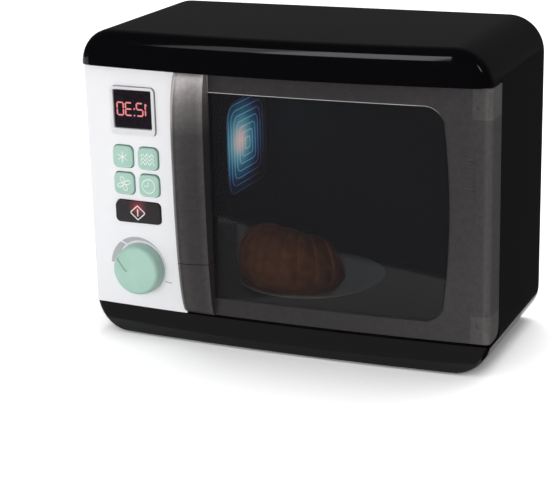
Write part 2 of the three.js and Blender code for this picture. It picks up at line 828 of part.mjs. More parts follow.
function makeButtonMat() {
  const back = boardFront - touchGap;
  const front = back - matThickness;
  const low = startZ - startHeight / 2;
  const high = buttonRowZ + buttonSize / 2;
  const sheet = roundedShape(controlX, (low + high) / 2, startWidth, high - low, buttonRadius);
  let mat = prism('y', sheet, front, back);
  for (const { x, z } of Object.values(buttonSizes)) {
    mat = mat.add(turned('y', x, z, [
      [0, back - matThickness / 2],
      [domeRadius, back - matThickness / 2],
      [domeRadius, front],
      [stemRadius, domeTip],
      [0, domeTip],
    ].reverse(), smallCircleSteps));
  }
  return mat.subtract(smallRod('y', controlX, startLampZ, lampRadius + touchGap, 0, boardFront));
}

const startLampZ = startZ + startHeight / 4;

function makeStartLamp() {
  return smallRod('y', controlX, startLampZ, lampRadius, boardFront - touchGap - matThickness - domeHeight,
    boardFront - touchGap);
}

// The knob with its shaft, which ends in the rotary switch
const knobBack = Math.min(face(controlX - knobRadius), face(controlX + knobRadius)) - knobFloat;
const knobFront = face(controlX) - knobProud;
const shaftTip = boardFront - touchGap - touchGap;

function makeKnob() {
  const body = turned('y', controlX, knobZ, [
    [0, knobFront],
    [knobRadius - knobTaper - knobEdge, knobFront],
    [knobRadius - knobTaper - knobEdge * (1 - Math.SQRT1_2), knobFront + knobEdge * (1 - Math.SQRT1_2)],
    [knobRadius - knobTaper, knobFront + knobEdge],
    [knobRadius, knobBack],
    [0, knobBack],
  ], circleSteps * 2);
  const shaft = rod('y', controlX, knobZ, knobShaftRadius, knobBack - knobEdge, shaftTip);
  const slot = roundedShape(0, 0, pointerLength, pointerWidth, pointerWidth / 2 - touchGap);
  const depth = pointerDepth + overrun;
  const pointer = new THREE.ExtrudeGeometry(slot, { depth, bevelEnabled: false, curveSegments: arcSteps });
  pointer.rotateZ(THREE.MathUtils.degToRad(pointerSlopeDegrees));
  pointer.applyMatrix4(axes.y);
  const place = THREE.MathUtils.degToRad(pointerPlaceDegrees);
  pointer.translate(controlX + pointerRadius * Math.cos(place), knobFront + pointerDepth,
    knobZ + pointerRadius * Math.sin(place));
  return body.add(shaft).subtract(toSolid(pointer));
}

const panelBehindKnob = face(controlX - collarRadius) + skin;

function makeKnobCollar() {
  const front = panelBehindKnob + touchGap;
  return rod('y', controlX, knobZ, collarRadius, front, front + collarThickness)
    .subtract(rod('y', controlX, knobZ, knobShaftRadius + touchGap, 0, boardFront));
}

function makeRotarySwitch() {
  const back = boardFront - touchGap;
  return prism('y', roundedShape(controlX, knobZ, switchSize, switchSize, capEdge), back - switchDepth, back)
    .subtract(rod('y', controlX, knobZ, knobShaftRadius + shaftGap, 0, boardFront));
}

function makeCircuitBoard() {
  let board = box(boardLeft, boardRight, boardFront, boardFront + boardThickness, boardBottom, boardTop);
  for (const [x, z] of postPlaces) {
    board = board.subtract(smallRod('y', x, z, screwShankRadius + screwClearance, 0, seamPlace));
  }
  return board;
}

function makeSoundChip() {
  const front = boardFront + boardThickness + touchGap;
  const z = (knobZ + startZ) / 2;
  const side = chipSize / 2;
  return box(controlX - side, controlX + side, front, front + chipHeight, z - side, z + side);
}

// A screw along y with its head at the back, from the head's underside at y = seat
function screw(x, z, seat, shankRadius, headRadius, headHeight, length) {
  return turned('y', x, z, [
    [0, seat - length],
    [shankRadius, seat - length],
    [shankRadius, seat],
    [headRadius, seat],
    [headRadius, seat + headHeight],
    [0, seat + headHeight],
  ], smallCircleSteps);
}

// The lens: a plate in the liner's left wall, a flange behind it and rounded square ridges on its face
function makeLightLens() {
  const back = cavityLeft - linerWall - touchGap;
  const rear = back - lensFlangeThickness;
  const flangeSize = lensSize + 2 * lensFlange;
  let lens = prism('x', roundedShape(lensY, lensZ, lensSize, lensSize, lensRadius), rear, cavityLeft);
  const flange = roundedShape(lensY, lensZ, flangeSize, flangeSize, lensRadius + lensFlange);
  lens = lens.add(prism('x', flange, rear, back));
  for (let i = 0; i < lensRidgeCount; i += 1) {
    const outer = lensSize - lensRidgePitch - 2 * lensRidgePitch * i;
    const inner = outer - 2 * lensRidgeWidth;
    const radius = Math.min(Math.max(lensRadius - lensRidgePitch * i / 2, outer / 4), outer / 2 - touchGap);
    const ridge = roundedShape(lensY, lensZ, outer, outer, radius);
    const hole = roundedShape(lensY, lensZ, inner, inner, Math.max(radius - lensRidgeWidth, touchGap));
    lens = lens.add(prism('x', ridge, cavityLeft - linerWall, cavityLeft + lensRidgeHeight, ridgeArcSteps)
      .subtract(prism('x', hole, cavityLeft, cavityLeft + overrun, ridgeArcSteps)));
  }
  return lens;
}

const lampBack = cavityLeft - linerWall - touchGap - lensFlangeThickness - touchGap;

function makeLampHousing() {
  const outer = prism('x', roundedShape(lensY, lensZ, lampHousingSize, lampHousingSize, lensRadius),
    lampBack - lampHousingDepth, lampBack);
  const inner = prism('x', roundedShape(lensY, lensZ, lampHousingSize - 2 * lampHousingWall,
    lampHousingSize - 2 * lampHousingWall, lensRadius - lampHousingWall),
    lampBack - lampHousingDepth + lampHousingWall, lampBack + overrun);
  return outer.subtract(inner);
}

function makeLampLed() {
  const base = lampBack - lampHousingDepth + lampHousingWall + touchGap;
  return smallRod('x', lensY, lensZ, lampLedRadius, base, base + lampLedHeight);
}

function makeSpeaker() {
  const rim = backInner - touchGap;
  return turned('y', controlX, speakerZ, [
    [0, rim - speakerDepth - speakerMagnetDepth],
    [speakerMagnetRadius, rim - speakerDepth - speakerMagnetDepth],
    [speakerMagnetRadius, rim - speakerDepth],
    [speakerRadius, rim - speakerDepth / 4],
    [speakerRadius, rim],
    [speakerRadius - speakerCollar, rim],
    [speakerMagnetRadius, rim - speakerDepth / 2],
    [0, rim - speakerDepth / 4],
  ]);
}

function makeBatteryBox() {
  const side = batteryRoomWidth / 2;
  const outside = side + batteryBoxWall;
  const outer = box(controlX - outside, controlX + outside,
    batteryBoxFront, batteryBoxRim, batteryBoxBottom, batteryBoxTop);
  const room = box(controlX - side, controlX + side,
    batteryBoxFront + batteryBoxWall, housingBack, batteryRoomBottom, batteryRoomTop);
  return outer.subtract(room)
    .subtract(smallRod('y', controlX, coverScrewZ, screwShankRadius + screwClearance,
      batteryBoxRim - screwBite - overrun, housingBack));
}

function makeBatteryCover() {
  return prism('y', roundedShape(controlX, coverZ, coverWidth, coverHigh - coverLow, coverRadius),
    housingBack - coverThickness, housingBack)
    .subtract(smallRod('y', controlX, coverScrewZ, screwHeadRadius + screwClearance,
      housingBack - coverThickness / 2, housingBack + overrun))
    .subtract(smallRod('y', controlX, coverScrewZ, screwShankRadius + screwClearance, 0, housingBack));
}

function makeBattery(index) {
  const x = controlX + (index - (batteryCount - 1) / 2) * batteryPitch;
  const flip = index % 2 ? -1 : 1;
  const low = batteryRoomBottom + batteryEnd;
  const high = low + batteryLength + batteryNubHeight;
  const profile = [
    [0, low],
    [batteryRadius, low],
    [batteryRadius, low + batteryLength],
    [batteryNubRadius, low + batteryLength],
    [batteryNubRadius, high],
    [0, high],
  ];
  const turnedOver = profile.map(([r, z]) => [r, low + high - z]).reverse();
  return turned('z', x, batteryY, flip > 0 ? profile : turnedOver);
}

// Contact plates at the ends of the cells, sprung towards them by bent tongues
function makeContact(low) {
  const x0 = controlX - batteryRoomWidth / 2 + touchGap;
  const x1 = controlX + batteryRoomWidth / 2 - touchGap;
  const start = low ? batteryRoomBottom + touchGap : batteryRoomTop - touchGap - contactThickness;
  const cellEnd = low ? batteryRoomBottom + batteryEnd - touchGap : batteryRoomTop - batteryEnd + touchGap;
  const tongue = batteryNubRadius;
  let plate = box(x0, x1, batteryY - batteryRadius, batteryY + batteryRadius,
    start, start + contactThickness);
  for (let i = 0; i < batteryCount; i += 1) {
    const x = controlX + (i - (batteryCount - 1) / 2) * batteryPitch;
    plate = plate.add(box(x - tongue, x + tongue, batteryY - tongue, batteryY + tongue,
      Math.min(start, cellEnd), Math.max(start + contactThickness, cellEnd)));
  }
  return plate;
}

// How far the pull stands out at a height, and its share across the width from the window to the lip
function pullHeight(z) {
  const reach = z > pullPeakZ ? pullTopReach : pullPeakRise;
  const far = Math.min(1, Math.abs(z - pullPeakZ) / reach);
  return pullProud * (1 - far ** pullPower) ** (1 / pullPower);
}

function pullShare(x) {
  const across = Math.sin(Math.PI / 2 * Math.min(1, (pullRight - x) / pullWidth));
  return pullWallShare + (1 - pullWallShare) * across;
}

// The pull: a sheet that rises in a wall beside the window and runs on to a free lip over the panel's edge
function makePull() {
  const lineAt = (z, right, offset) => Array.from({ length: pullColumns + 1 }, (_, i) => {
    const x = doorLeft + (right - doorLeft) * i / pullColumns;
    return [x, face(x) - pullHeight(z) * pullShare(x) - pullStep + offset, z];
  });
  const root = pullRight + skin / 2;
  const near = face(root) + skin / 4;
  const far = near + skin / 2;
  const ringAt = (z) => [
    ...lineAt(z, pullRight, 0), [pullRight, near, z], [root, near, z],
    [root, far, z], [pullRight - skin, far, z], ...lineAt(z, pullRight - skin, skin).reverse(),
  ];
  const rings = [];
  for (let k = 0; k <= pullRows; k += 1) {
    rings.push(ringAt(doorBottom + (doorTop - doorBottom) * k / pullRows));
  }
  return loft(rings);
}

function makeWindowPad() {
  const z = (windowBottom + windowTop) / 2;
  const shape = new THREE.Shape();
  const side = windowRight - windowSideBulge;
  shape.moveTo(windowLeft, windowBottom);
  shape.lineTo(side - windowRadius, windowBottom);
  shape.absarc(side - windowRadius, windowBottom + windowRadius, windowRadius, -Math.PI / 2, 0);
  shape.quadraticCurveTo(side + 2 * windowSideBulge, z, side, windowTop - windowRadius);
  shape.absarc(side - windowRadius, windowTop - windowRadius, windowRadius, 0, Math.PI / 2);
  shape.lineTo(windowLeft, windowTop);
  const plan = [];
  for (let i = 0; i <= bowSteps; i += 1) {
    const x = windowLeft + (windowRight - windowLeft) * i / bowSteps;
    plan.push([x, face(x) - windowRaise]);
  }
  const behind = plan.map(([x]) => [x, face(x) + skin / 2]).reverse();
  const slab = prism('z', polygon([...plan, ...behind]), 0, housingTop);
  return prism('y', shape, -housingBack, housingBack).intersect(slab);
}

function makeDoor() {
  let door = prism('z', skinShape(-pullRight), doorBottom, doorTop);
  door = door.mirror([1, 0, 0]);
  door = door.intersect(insetBlock(0, () => -overrun, housingBack));
  const cut = prism('x', polygon([
    [wrapDepth - doorCornerRadius, doorBottom - overrun],
    ...Array.from({ length: cornerSteps + 1 }, (_, i) => {
      const angle = -Math.PI / 2 + Math.PI / 2 * i / cornerSteps;
      return [wrapDepth - doorCornerRadius + doorCornerRadius * Math.cos(angle),
        doorBottom + doorCornerRadius + doorCornerRadius * Math.sin(angle)];
    }),
    [wrapDepth + overrun, doorBottom + doorCornerRadius],
    [wrapDepth + overrun, doorBottom - overrun],
  ]), half - skinCornerRadius, half + overrun);
  door = door.subtract(cut).add(makePull()).add(makeWindowPad());
  // Hinge blocks, knuckles and the ribs in the corner
  const inner = half - skin / 2;
  for (const [low, high] of [[doorBottom, lowBlockTop], [topBlockBottom, doorTop]]) {
    const block = prism('z', polygon([
      [hingeBlockLeft, face(hingeBlockLeft) + skin / 2],
      [inner - skinCornerRadius / 2, face(inner) + skin / 2],
      [inner, face(inner) + skinCornerRadius],
      [inner, hingeBlockBack],
      [hingeBlockLeft, hingeBlockBack],
    ]), low, high);
    door = door.add(block.intersect(box(0, half, 0, housingBack, low, high)));
    door = door.add(smallRod('z', hingeX, hingeY, knuckleRadius, low, high));
  }
  const hole = hingePinRadius + hingePinGap;
  const [lower, upper] = [doorBottom + hingePinReach, doorTop - hingePinReach];
  door = door.subtract(smallRod('z', hingeX, hingeY, hole, doorBottom - overrun, lower));
  door = door.subtract(smallRod('z', hingeX, hingeY, hole, upper, doorTop + overrun));
  // The tongue that the latch holds
  const root = face(latchX) - pullHeight(latchZ) * pullShare(latchX) + skin / 2;
  door = door.add(box(latchX - tongueThickness / 2, latchX + tongueThickness / 2,
    root - pullStep, tongueReach, latchZ - tongueHeight / 2, latchZ + tongueHeight / 2));
  return door;
}

// Pins: the lower one has a shoulder that carries the door
function makeHingePins() {
  const low = bandTop - lowPinDepth + touchGap;
  const high = doorBottom + hingePinReach - touchGap;
  const lower = turned('z', hingeX, hingeY, [
    [0, low],
    [hingePinRadius, low],
    [hingePinRadius, bandTop + touchGap],
    [pinShoulderRadius, bandTop + touchGap],
    [pinShoulderRadius, doorBottom - touchGap],
    [hingePinRadius, doorBottom - touchGap],
    [hingePinRadius, high],
    [0, high],
  ], smallCircleSteps);
  const upper = smallRod('z', hingeX, hingeY, hingePinRadius, doorTop - hingePinReach + touchGap,
    hoodBottom + topPinDepth - touchGap);
  return { lower, upper };
}

function makeDoorLatch() {
  const front = face(latchX - latchPad) + frameBackInset + touchGap;
  const slot = tongueThickness / 2 + touchGap;
  const height = tongueHeight / 2 + latchPad;
  const deep = tongueReach + touchGap + latchLeaf;
  const sides = slot + latchLeaf;
  const low = latchZ - height;
  const high = latchZ + height;
  const body = box(latchX - sides, latchX + sides, front, deep, low, high);
  const leaf = box(latchX - latchPad, latchX + latchPad, front, front + latchLeaf, low, high);
  const [under, over] = [latchZ - tongueHeight, latchZ + tongueHeight];
  const gap = box(latchX - slot, latchX + slot, 0, deep - latchLeaf, under, over);
  return body.add(leaf).subtract(gap);
}

function makeFoot(x, y) {
  return turned('z', x, y, [
    [0, 0],
    [footRadius - touchGap, 0],
    [footRadius, footDrop - touchGap],
    [footPegRadius, footDrop - touchGap],
    [footPegRadius, footPegHeight],
    [0, footPegHeight],
  ], circleSteps);
}

const plateTop = cavityFloor + touchGap + plateThickness;

function makePlate() {
  const low = cavityFloor + touchGap;
  return turned('z', plateX, plateY, [
    [0, low],
    [plateWell, low],
    [plateRadius, low + plateRim],
    [plateRadius, low + plateRim + plateThickness / 2],
    [plateWell, plateTop],
    [0, plateTop],
  ], circleSteps * 2);
}

// A crescent of dough: sections along an arc, thick in the middle, ridged, and flat where it lies
function makeCroissant() {
  const sweep = THREE.MathUtils.degToRad(croissantSweepDegrees);
  const turn = THREE.MathUtils.degToRad(croissantTurnDegrees);
  const base = plateTop + touchGap;
  const rings = [];
  for (let k = 0; k <= croissantStations; k += 1) {
    const share = k / croissantStations * 2 - 1;
    const ridge = 1 + (k % croissantRidgeEvery === 1 ? croissantRidgeShare : 0);
    const swell = Math.max(0, Math.cos(share * Math.PI / 2)) ** croissantTaperShare;
    const radius = ridge * (croissantThin + (croissantThick - croissantThin) * swell);
    const angle = turn + share * sweep / 2;
    const middle = base + radius * croissantFlatShare;
    rings.push(Array.from({ length: croissantSides }, (_, j) => {
      const around = -2 * Math.PI * (j + 0.5) / croissantSides;
      const out = croissantRing + radius * Math.cos(around);
      const z = Math.max(base, middle + radius * croissantRiseShare * Math.sin(around));
      return [croissantX + out * Math.cos(angle), croissantY + out * Math.sin(angle), z];
    }));
  }
  return loft(rings);
}

// A wire held inside the housing, straight where it leaves each end
function makeWire(points) {
  const curve = new THREE.CatmullRomCurve3(points.map(([x, y, z]) => new THREE.Vector3(x, y, z)));
  const section = new THREE.Shape();
  section.absarc(0, 0, wireRadius, 0, 2 * Math.PI);
  return toSolid(new THREE.ExtrudeGeometry(section, {
    steps: wireSteps,
    curveSegments: wireArcSteps,
    extrudePath: curve,
    bevelEnabled: false,
  }));
}

// Materials
const finish = (color, roughness, metalness = 0, extra = {}) => (
  new THREE.MeshStandardMaterial({ color, roughness, metalness, ...extra })
);
const blackPlastic = finish(0x16161a, 0.15);
const whitePlastic = finish(0xf0eff4, 0.3);
const mintPlastic = finish(0xadcfc1, 0.35);
const silverPlastic = finish(0xc8c6c8, 0.25, 0.8);
const darkWindow = finish(0x231c23, 0.1);
const smokePlastic = finish(0x4a4747, 0.2, 0, { transparent: true, opacity: 0.6 });
const linerPlastic = finish(0x1f1f21, 0.5);
const lensPlastic = finish(0x9fc6d8, 0.2, 0, { transparent: true, opacity: 0.7 });
const rubber = finish(0x55585a, 0.9);
const board = finish(0x2c6b3c, 0.6);
const component = finish(0x202022, 0.5);
const steel = finish(0xb9bbbe, 0.35, 1);
const cellWrap = finish(0x3f7d4f, 0.4);
const plateWhite = finish(0xf5f3f1, 0.3);
const dough = finish(0xd9853a, 0.4);
const wireInsulation = finish(0xb03030, 0.5);

const oven = new THREE.Group();

function place(name, solid, material) {
  const mesh = new THREE.Mesh(toGeometry(solid), material);
  mesh.name = name;
  oven.add(mesh);
}

place('front_shell', makeFrontShell(), blackPlastic);
place('rear_shell', makeRearShell(), blackPlastic);
place('cavity_liner', makeCavityLiner(), linerPlastic);
place('control_panel', makeControlPanel(), whitePlastic);
place('display_frame', makeDisplayFrame(), silverPlastic);
place('display_window', makeDisplayWindow(), darkWindow);
place('display_module', makeDisplayModule(), component);
for (const [name, cap] of Object.entries(buttonSizes)) {
  place(name, makeCap(cap), name === 'start_button' ? blackPlastic : mintPlastic);
}
place('timer_knob', makeKnob(), mintPlastic);
place('knob_collar', makeKnobCollar(), steel);
place('rotary_switch', makeRotarySwitch(), component);
place('button_mat', makeButtonMat(), rubber);
place('start_lamp', makeStartLamp(), lensPlastic);
place('circuit_board', makeCircuitBoard(), board);
place('sound_chip', makeSoundChip(), component);
place('light_lens', makeLightLens(), lensPlastic);
place('lamp_housing', makeLampHousing(), whitePlastic);
place('lamp_led', makeLampLed(), lensPlastic);
place('speaker', makeSpeaker(), component);
place('battery_box', makeBatteryBox(), blackPlastic);
place('battery_cover', makeBatteryCover(), blackPlastic);
place('battery_cover_screw', screw(controlX, coverScrewZ, housingBack - coverThickness / 2 + touchGap / 2,
  screwShankRadius, screwHeadRadius, coverThickness / 2 - touchGap, screwBite + coverThickness), steel);
for (let i = 0; i < batteryCount; i += 1) {
  place(`battery_${i + 1}`, makeBattery(i), cellWrap);
}
place('lower_contact', makeContact(true), steel);
place('upper_contact', makeContact(false), steel);
place('door', makeDoor(), smokePlastic);
const pins = makeHingePins();
place('lower_hinge_pin', pins.lower, steel);
place('upper_hinge_pin', pins.upper, steel);
place('door_latch', makeDoorLatch(), linerPlastic);
[[-footX, footFront], [footX, footFront], [-footX, footBack], [footX, footBack]].forEach(([x, y], i) => {
  place(`foot_${i + 1}`, makeFoot(x, y), rubber);
});
bossPlaces.forEach(([x, z], i) => {
  const seat = housingBack - screwWell + touchGap;
  place(`housing_screw_${i + 1}`, screw(x, z, seat, housingScrewRadius, housingHeadRadius, housingHeadHeight,
    seat - seamPlace + housingScrewBite), steel);
});
panelScrewPlaces.forEach(([x, z], i) => {
  const seat = face(Math.abs(x) + screwHeadRadius) + frameBackInset + touchGap;
  place(`panel_screw_${i + 1}`, screw(x, z, seat, screwShankRadius, screwHeadRadius, screwHeadHeight,
    panelScrewBite), steel);
});
postPlaces.forEach(([x, z], i) => {
  const seat = boardFront + boardThickness + touchGap;
  const headRadius = (screwHeadRadius + screwShankRadius) / 2;
  const fixing = screw(x, z, seat, screwShankRadius, headRadius, screwHeadHeight, screwBite);
  place(`board_screw_${i + 1}`, fixing, steel);
});
place('plate', makePlate(), plateWhite);
place('croissant', makeCroissant(), dough);

const boardBack = boardFront + boardThickness + touchGap;
const wireLeft = controlX - batteryPitch / 2;
place('battery_wire', makeWire([
  [wireLeft, batteryBoxFront - touchGap, batteryRoomBottom + batteryPitch],
  [wireLeft, batteryBoxFront - batteryPitch, batteryRoomBottom + batteryPitch],
  [wireLeft, boardBack + batteryPitch, startZ],
  [wireLeft, boardBack, startZ],
]), wireInsulation);
const speakerEnd = backInner - 2 * touchGap - speakerDepth - speakerMagnetDepth;
place('speaker_wire', makeWire([
  [controlX, speakerEnd, speakerZ],
  [controlX, speakerEnd - speakerRadius, speakerZ],
  [controlX, boardBack + speakerRadius, knobZ],
  [controlX, boardBack, knobZ],
]), wireInsulation);
const lampEnd = lampBack - lampHousingDepth - touchGap;
place('lamp_wire', makeWire([
  [lampEnd, lensY, lensZ],
  [lampEnd - lampHousingDepth, lensY, lensZ],
  [controlX, boardBack + lampHousingSize / 2, lensZ],
  [controlX, boardBack, lensZ],
]), wireInsulation);

// The origin is the middle of the footprint, from the pull's lip to the back
const lipFront = face(doorLeft) - pullProud - pullStep;
oven.position.y = -(Math.min(lipFront, -hoodProud) + housingBack) / 2;

export default oven;
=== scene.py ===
# %% [markdown]
# # A toy microwave oven
# The oven was first drawn as CAD solids and packed as a fixed frame of named pieces. This script loads
# that frame and gives each piece that shows a finer mesh and a finish. It also sets the camera, the
# floor and the lamps. Each step comes with a short note on how the real piece is made.

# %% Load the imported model
import json
import math
import bmesh
import bpy
from mathutils import Matrix, Vector


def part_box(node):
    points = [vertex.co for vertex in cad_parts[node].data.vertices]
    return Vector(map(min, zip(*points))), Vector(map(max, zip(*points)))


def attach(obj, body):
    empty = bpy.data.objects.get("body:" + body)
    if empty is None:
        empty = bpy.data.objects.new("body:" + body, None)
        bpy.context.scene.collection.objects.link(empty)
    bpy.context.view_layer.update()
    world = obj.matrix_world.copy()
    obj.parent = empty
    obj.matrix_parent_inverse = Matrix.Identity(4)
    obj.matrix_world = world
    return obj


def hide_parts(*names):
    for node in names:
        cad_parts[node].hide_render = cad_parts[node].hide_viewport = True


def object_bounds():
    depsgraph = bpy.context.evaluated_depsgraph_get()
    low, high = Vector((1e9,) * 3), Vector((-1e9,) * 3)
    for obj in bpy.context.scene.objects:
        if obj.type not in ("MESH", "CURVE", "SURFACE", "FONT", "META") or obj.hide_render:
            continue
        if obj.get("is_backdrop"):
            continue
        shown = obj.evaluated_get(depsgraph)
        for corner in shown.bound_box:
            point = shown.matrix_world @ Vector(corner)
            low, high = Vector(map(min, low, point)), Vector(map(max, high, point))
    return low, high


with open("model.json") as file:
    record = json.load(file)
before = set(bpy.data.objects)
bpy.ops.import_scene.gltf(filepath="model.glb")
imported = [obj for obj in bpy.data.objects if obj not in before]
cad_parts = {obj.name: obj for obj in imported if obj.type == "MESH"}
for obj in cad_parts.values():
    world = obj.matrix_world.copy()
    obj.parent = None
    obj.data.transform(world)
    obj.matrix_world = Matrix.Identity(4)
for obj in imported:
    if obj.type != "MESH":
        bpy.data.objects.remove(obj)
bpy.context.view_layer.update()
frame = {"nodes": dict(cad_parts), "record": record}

print("solids in the frame:", len(frame["nodes"]))

# %% [markdown]
# ## Millimetres
# Toy parts are drawn in millimetres, and Blender works in metres. The drawing's zero is the middle of
# the door's face, and the frame's zero is the middle of the whole box, so one shift along y and one
# division bring a drawn point into the frame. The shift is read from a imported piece, which keeps both
# drawings together.

# %% From the drawing to the frame
HOUSING_BACK = 129.5
SHIFT = HOUSING_BACK - 1000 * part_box("rear_shell")[1].y


def metres(point):
    """A point of the drawing, in millimetres, as a point of the frame, in metres."""
    x, y, z = point
    return (x / 1000, (y - SHIFT) / 1000, z / 1000)


print("shift along y:", round(SHIFT, 3), "mm")

# %% [markdown]
# ## Closed bodies
# Almost every moulded piece can be made as rings of points with walls between them. A helper that joins
# rings covers prisms, turned parts and bowed shells alike. The normals are recalculated once the body
# is closed, so nobody has to keep count of which way each ring runs.

# %% Rings to bodies
def placed(name, data):
    """A new object in the scene."""
    piece = bpy.data.objects.new(name, data)
    bpy.context.scene.collection.objects.link(piece)
    return piece


def body_of(name, points, faces):
    """A closed mesh object, its faces turned outwards."""
    mesh = bpy.data.meshes.new(name)
    mesh.from_pydata([metres(p) for p in points], [], faces)
    form = bmesh.new()
    form.from_mesh(mesh)
    bmesh.ops.recalc_face_normals(form, faces=form.faces)
    form.to_mesh(mesh)
    form.free()
    return placed(name, mesh)


def lofted(name, rings, ends="flat"):
    """Walls between rings of equal count. Its ends are flat faces, strips, or a loop to the first."""
    count, last = len(rings[0]), (len(rings) - 1) * len(rings[0])
    faces = []
    for k in range(len(rings) - 1):
        for j in range(count):
            n = (j + 1) % count
            faces.append((k * count + j, k * count + n, (k + 1) * count + n, (k + 1) * count + j))
    if ends == "flat":
        faces += [tuple(range(count)), tuple(range(last, last + count))]
    if ends == "strip":
        for start in (0, last):
            for i in range(count // 2 - 1):
                low = count - 1 - i
                faces.append((start + i, start + low, start + low - 1, start + i + 1))
    if ends == "loop":
        faces += [(last + j, last + (j + 1) % count, (j + 1) % count, j) for j in range(count)]
    return body_of(name, [p for ring in rings for p in ring], faces)


def prism(name, axis, outline, low, high):
    """An outline pushed along an axis. It lies in (y, z) for x, in (x, z) for y, in (x, y) for z."""
    def put(u, v, d):
        return {"x": (d, u, v), "y": (u, d, v), "z": (u, v, d)}[axis]
    return lofted(name, [[put(u, v, d) for u, v in outline] for d in (low, high)])


def slab(name, x0, x1, y0, y1, z0, z1):
    return prism(name, "z", [(x0, y0), (x1, y0), (x1, y1), (x0, y1)], z0, z1)


def circle(u, v, radius, steps=48):
    return [(u + radius * math.cos(2 * math.pi * i / steps), v + radius * math.sin(2 * math.pi * i / steps))
            for i in range(steps)]


def rod(name, axis, u, v, radius, low, high, steps=32):
    return prism(name, axis, circle(u, v, radius, steps), low, high)


def rounded(u, v, width, height, radius, steps=8):
    """A rounded rectangle round (u, v)."""
    points = []
    for side, up, start in ((1, 1, 0), (-1, 1, 90), (-1, -1, 180), (1, -1, 270)):
        for i in range(steps + 1):
            a = math.radians(start + 90 * i / steps)
            points.append((u + side * (width / 2 - radius) + radius * math.cos(a),
                           v + up * (height / 2 - radius) + radius * math.sin(a)))
    return points


print("a rounded outline has", len(rounded(0, 0, 10, 10, 2)), "points")

# %% [markdown]
# ## Cutting and softening
# A mould has cores that leave holes, and a Boolean modifier does the same to a mesh. The Manifold solver
# is quick and exact on closed bodies, so dozens of cuts cost little. No moulded edge is truly sharp, so
# a narrow bevel follows, which catches a thin line of light as plastic does.

# %% Booleans and bevels
def settled(piece):
    """Bakes the modifiers into a plain mesh."""
    depsgraph = bpy.context.evaluated_depsgraph_get()
    mesh = bpy.data.meshes.new_from_object(
        piece.evaluated_get(depsgraph), preserve_all_data_layers=True, depsgraph=depsgraph)
    piece.modifiers.clear()
    piece.data = mesh
    return piece


def joined(piece, tool, how):
    change = piece.modifiers.new(how, "BOOLEAN")
    change.operation = how
    change.solver = "MANIFOLD"
    change.object = tool
    settled(piece)
    bpy.data.objects.remove(tool)
    return piece


def less(piece, *tools):
    for tool in tools:
        joined(piece, tool, "DIFFERENCE")
    return piece


def plus(piece, *tools):
    for tool in tools:
        joined(piece, tool, "UNION")
    return piece


def within(piece, tool):
    return joined(piece, tool, "INTERSECT")


def softened(piece, width, angle=35, segments=2):
    """Rounds the sharp edges a little and shades the rest smooth."""
    piece.data.shade_smooth()
    if width:
        bevel = piece.modifiers.new("edges", "BEVEL")
        bevel.width = width / 1000
        bevel.segments = segments
        bevel.limit_method = "ANGLE"
        bevel.angle_limit = math.radians(angle)
    settled(piece)
    piece.data.set_sharp_from_angle(angle=math.radians(angle))
    weigh = piece.modifiers.new("normals", "WEIGHTED_NORMAL")
    weigh.keep_sharp = True
    return settled(piece)


def ready(piece, body, material, slot, *nodes):
    """Gives the piece its finish, if it has none yet, its body and the nodes that it stands for."""
    if material:
        piece.data.materials.clear()
        piece.data.materials.append(material)
    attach(piece, body)
    if nodes:
        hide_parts(*nodes)
    print(piece.name, "faces:", len(piece.data.polygons))
    return piece


# %% [markdown]
# ## A helper for shader nodes
# Every finish here is procedural. One function adds a node, sets its properties and either fills or
# links its sockets, so a material reads as a short list. Colours are given as sRGB hex values, as a
# paint chart gives them, and one function turns them to the linear values that shaders work with.

# %% Nodes and colours
def linear(code):
    """An sRGB hex colour as linear red, green, blue and alpha."""
    parts = [int(code[i:i + 2], 16) / 255 for i in (1, 3, 5)]
    return tuple(c / 12.92 if c <= 0.04045 else ((c + 0.055) / 1.055) ** 2.4 for c in parts) + (1.0,)


def fill(tree, node, inputs):
    """Fills a node's inputs. A socket is linked, and a node stands for its first output."""
    for key, value in inputs.items():
        if isinstance(value, bpy.types.Node):
            value = value.outputs[0]
        if isinstance(value, bpy.types.NodeSocket):
            tree.links.new(value, node.inputs[key])
        else:
            node.inputs[key].default_value = value


def add(tree, kind, inputs=None, stops=(), **settings):
    """Adds a node. A ramp's stops are pairs of a position and a hex colour or a grey value."""
    made = tree.nodes.new(kind)
    for key, value in settings.items():
        setattr(made, key, value)
    fill(tree, made, inputs or {})
    if stops:
        elements = made.color_ramp.elements
        while len(elements) < len(stops):
            elements.new(0.5)
        for element, (position, value) in zip(elements, stops):
            element.position = position
            element.color = linear(value) if isinstance(value, str) else (value, value, value, 1)
    return made


def start(name, base, roughness, **sockets):
    """A material with a Principled shader, and its Object coordinates counted in millimetres."""
    material = bpy.data.materials.new(name)
    material.use_nodes = True
    tree = material.node_tree
    tree.nodes.clear()
    shader = add(tree, "ShaderNodeBsdfPrincipled", {"Base Color": linear(base), "Roughness": roughness})
    fill(tree, shader, {key.replace("_", " "): value for key, value in sockets.items()})
    place = add(tree, "ShaderNodeTexCoord")
    mm = add(tree, "ShaderNodeVectorMath", {0: place.outputs["Object"], "Scale": 1000}, operation="SCALE")
    add(tree, "ShaderNodeOutputMaterial", {"Surface": shader})
    return material, tree, shader, mm


def closeness(tree, mm, point, stretch, reach):
    """The distance from a point of the drawing, as a share of a reach in millimetres."""
    centre = [1000 * c for c in metres(point)]
    apart = add(tree, "ShaderNodeVectorMath", {0: mm, 1: centre}, operation="SUBTRACT")
    flat = add(tree, "ShaderNodeVectorMath", {0: apart, 1: stretch}, operation="MULTIPLY")
    far = add(tree, "ShaderNodeVectorMath", {0: flat}, operation="LENGTH")
    return add(tree, "ShaderNodeMapRange", {"Value": far.outputs["Value"], "From Max": reach})


print("node helpers are ready")

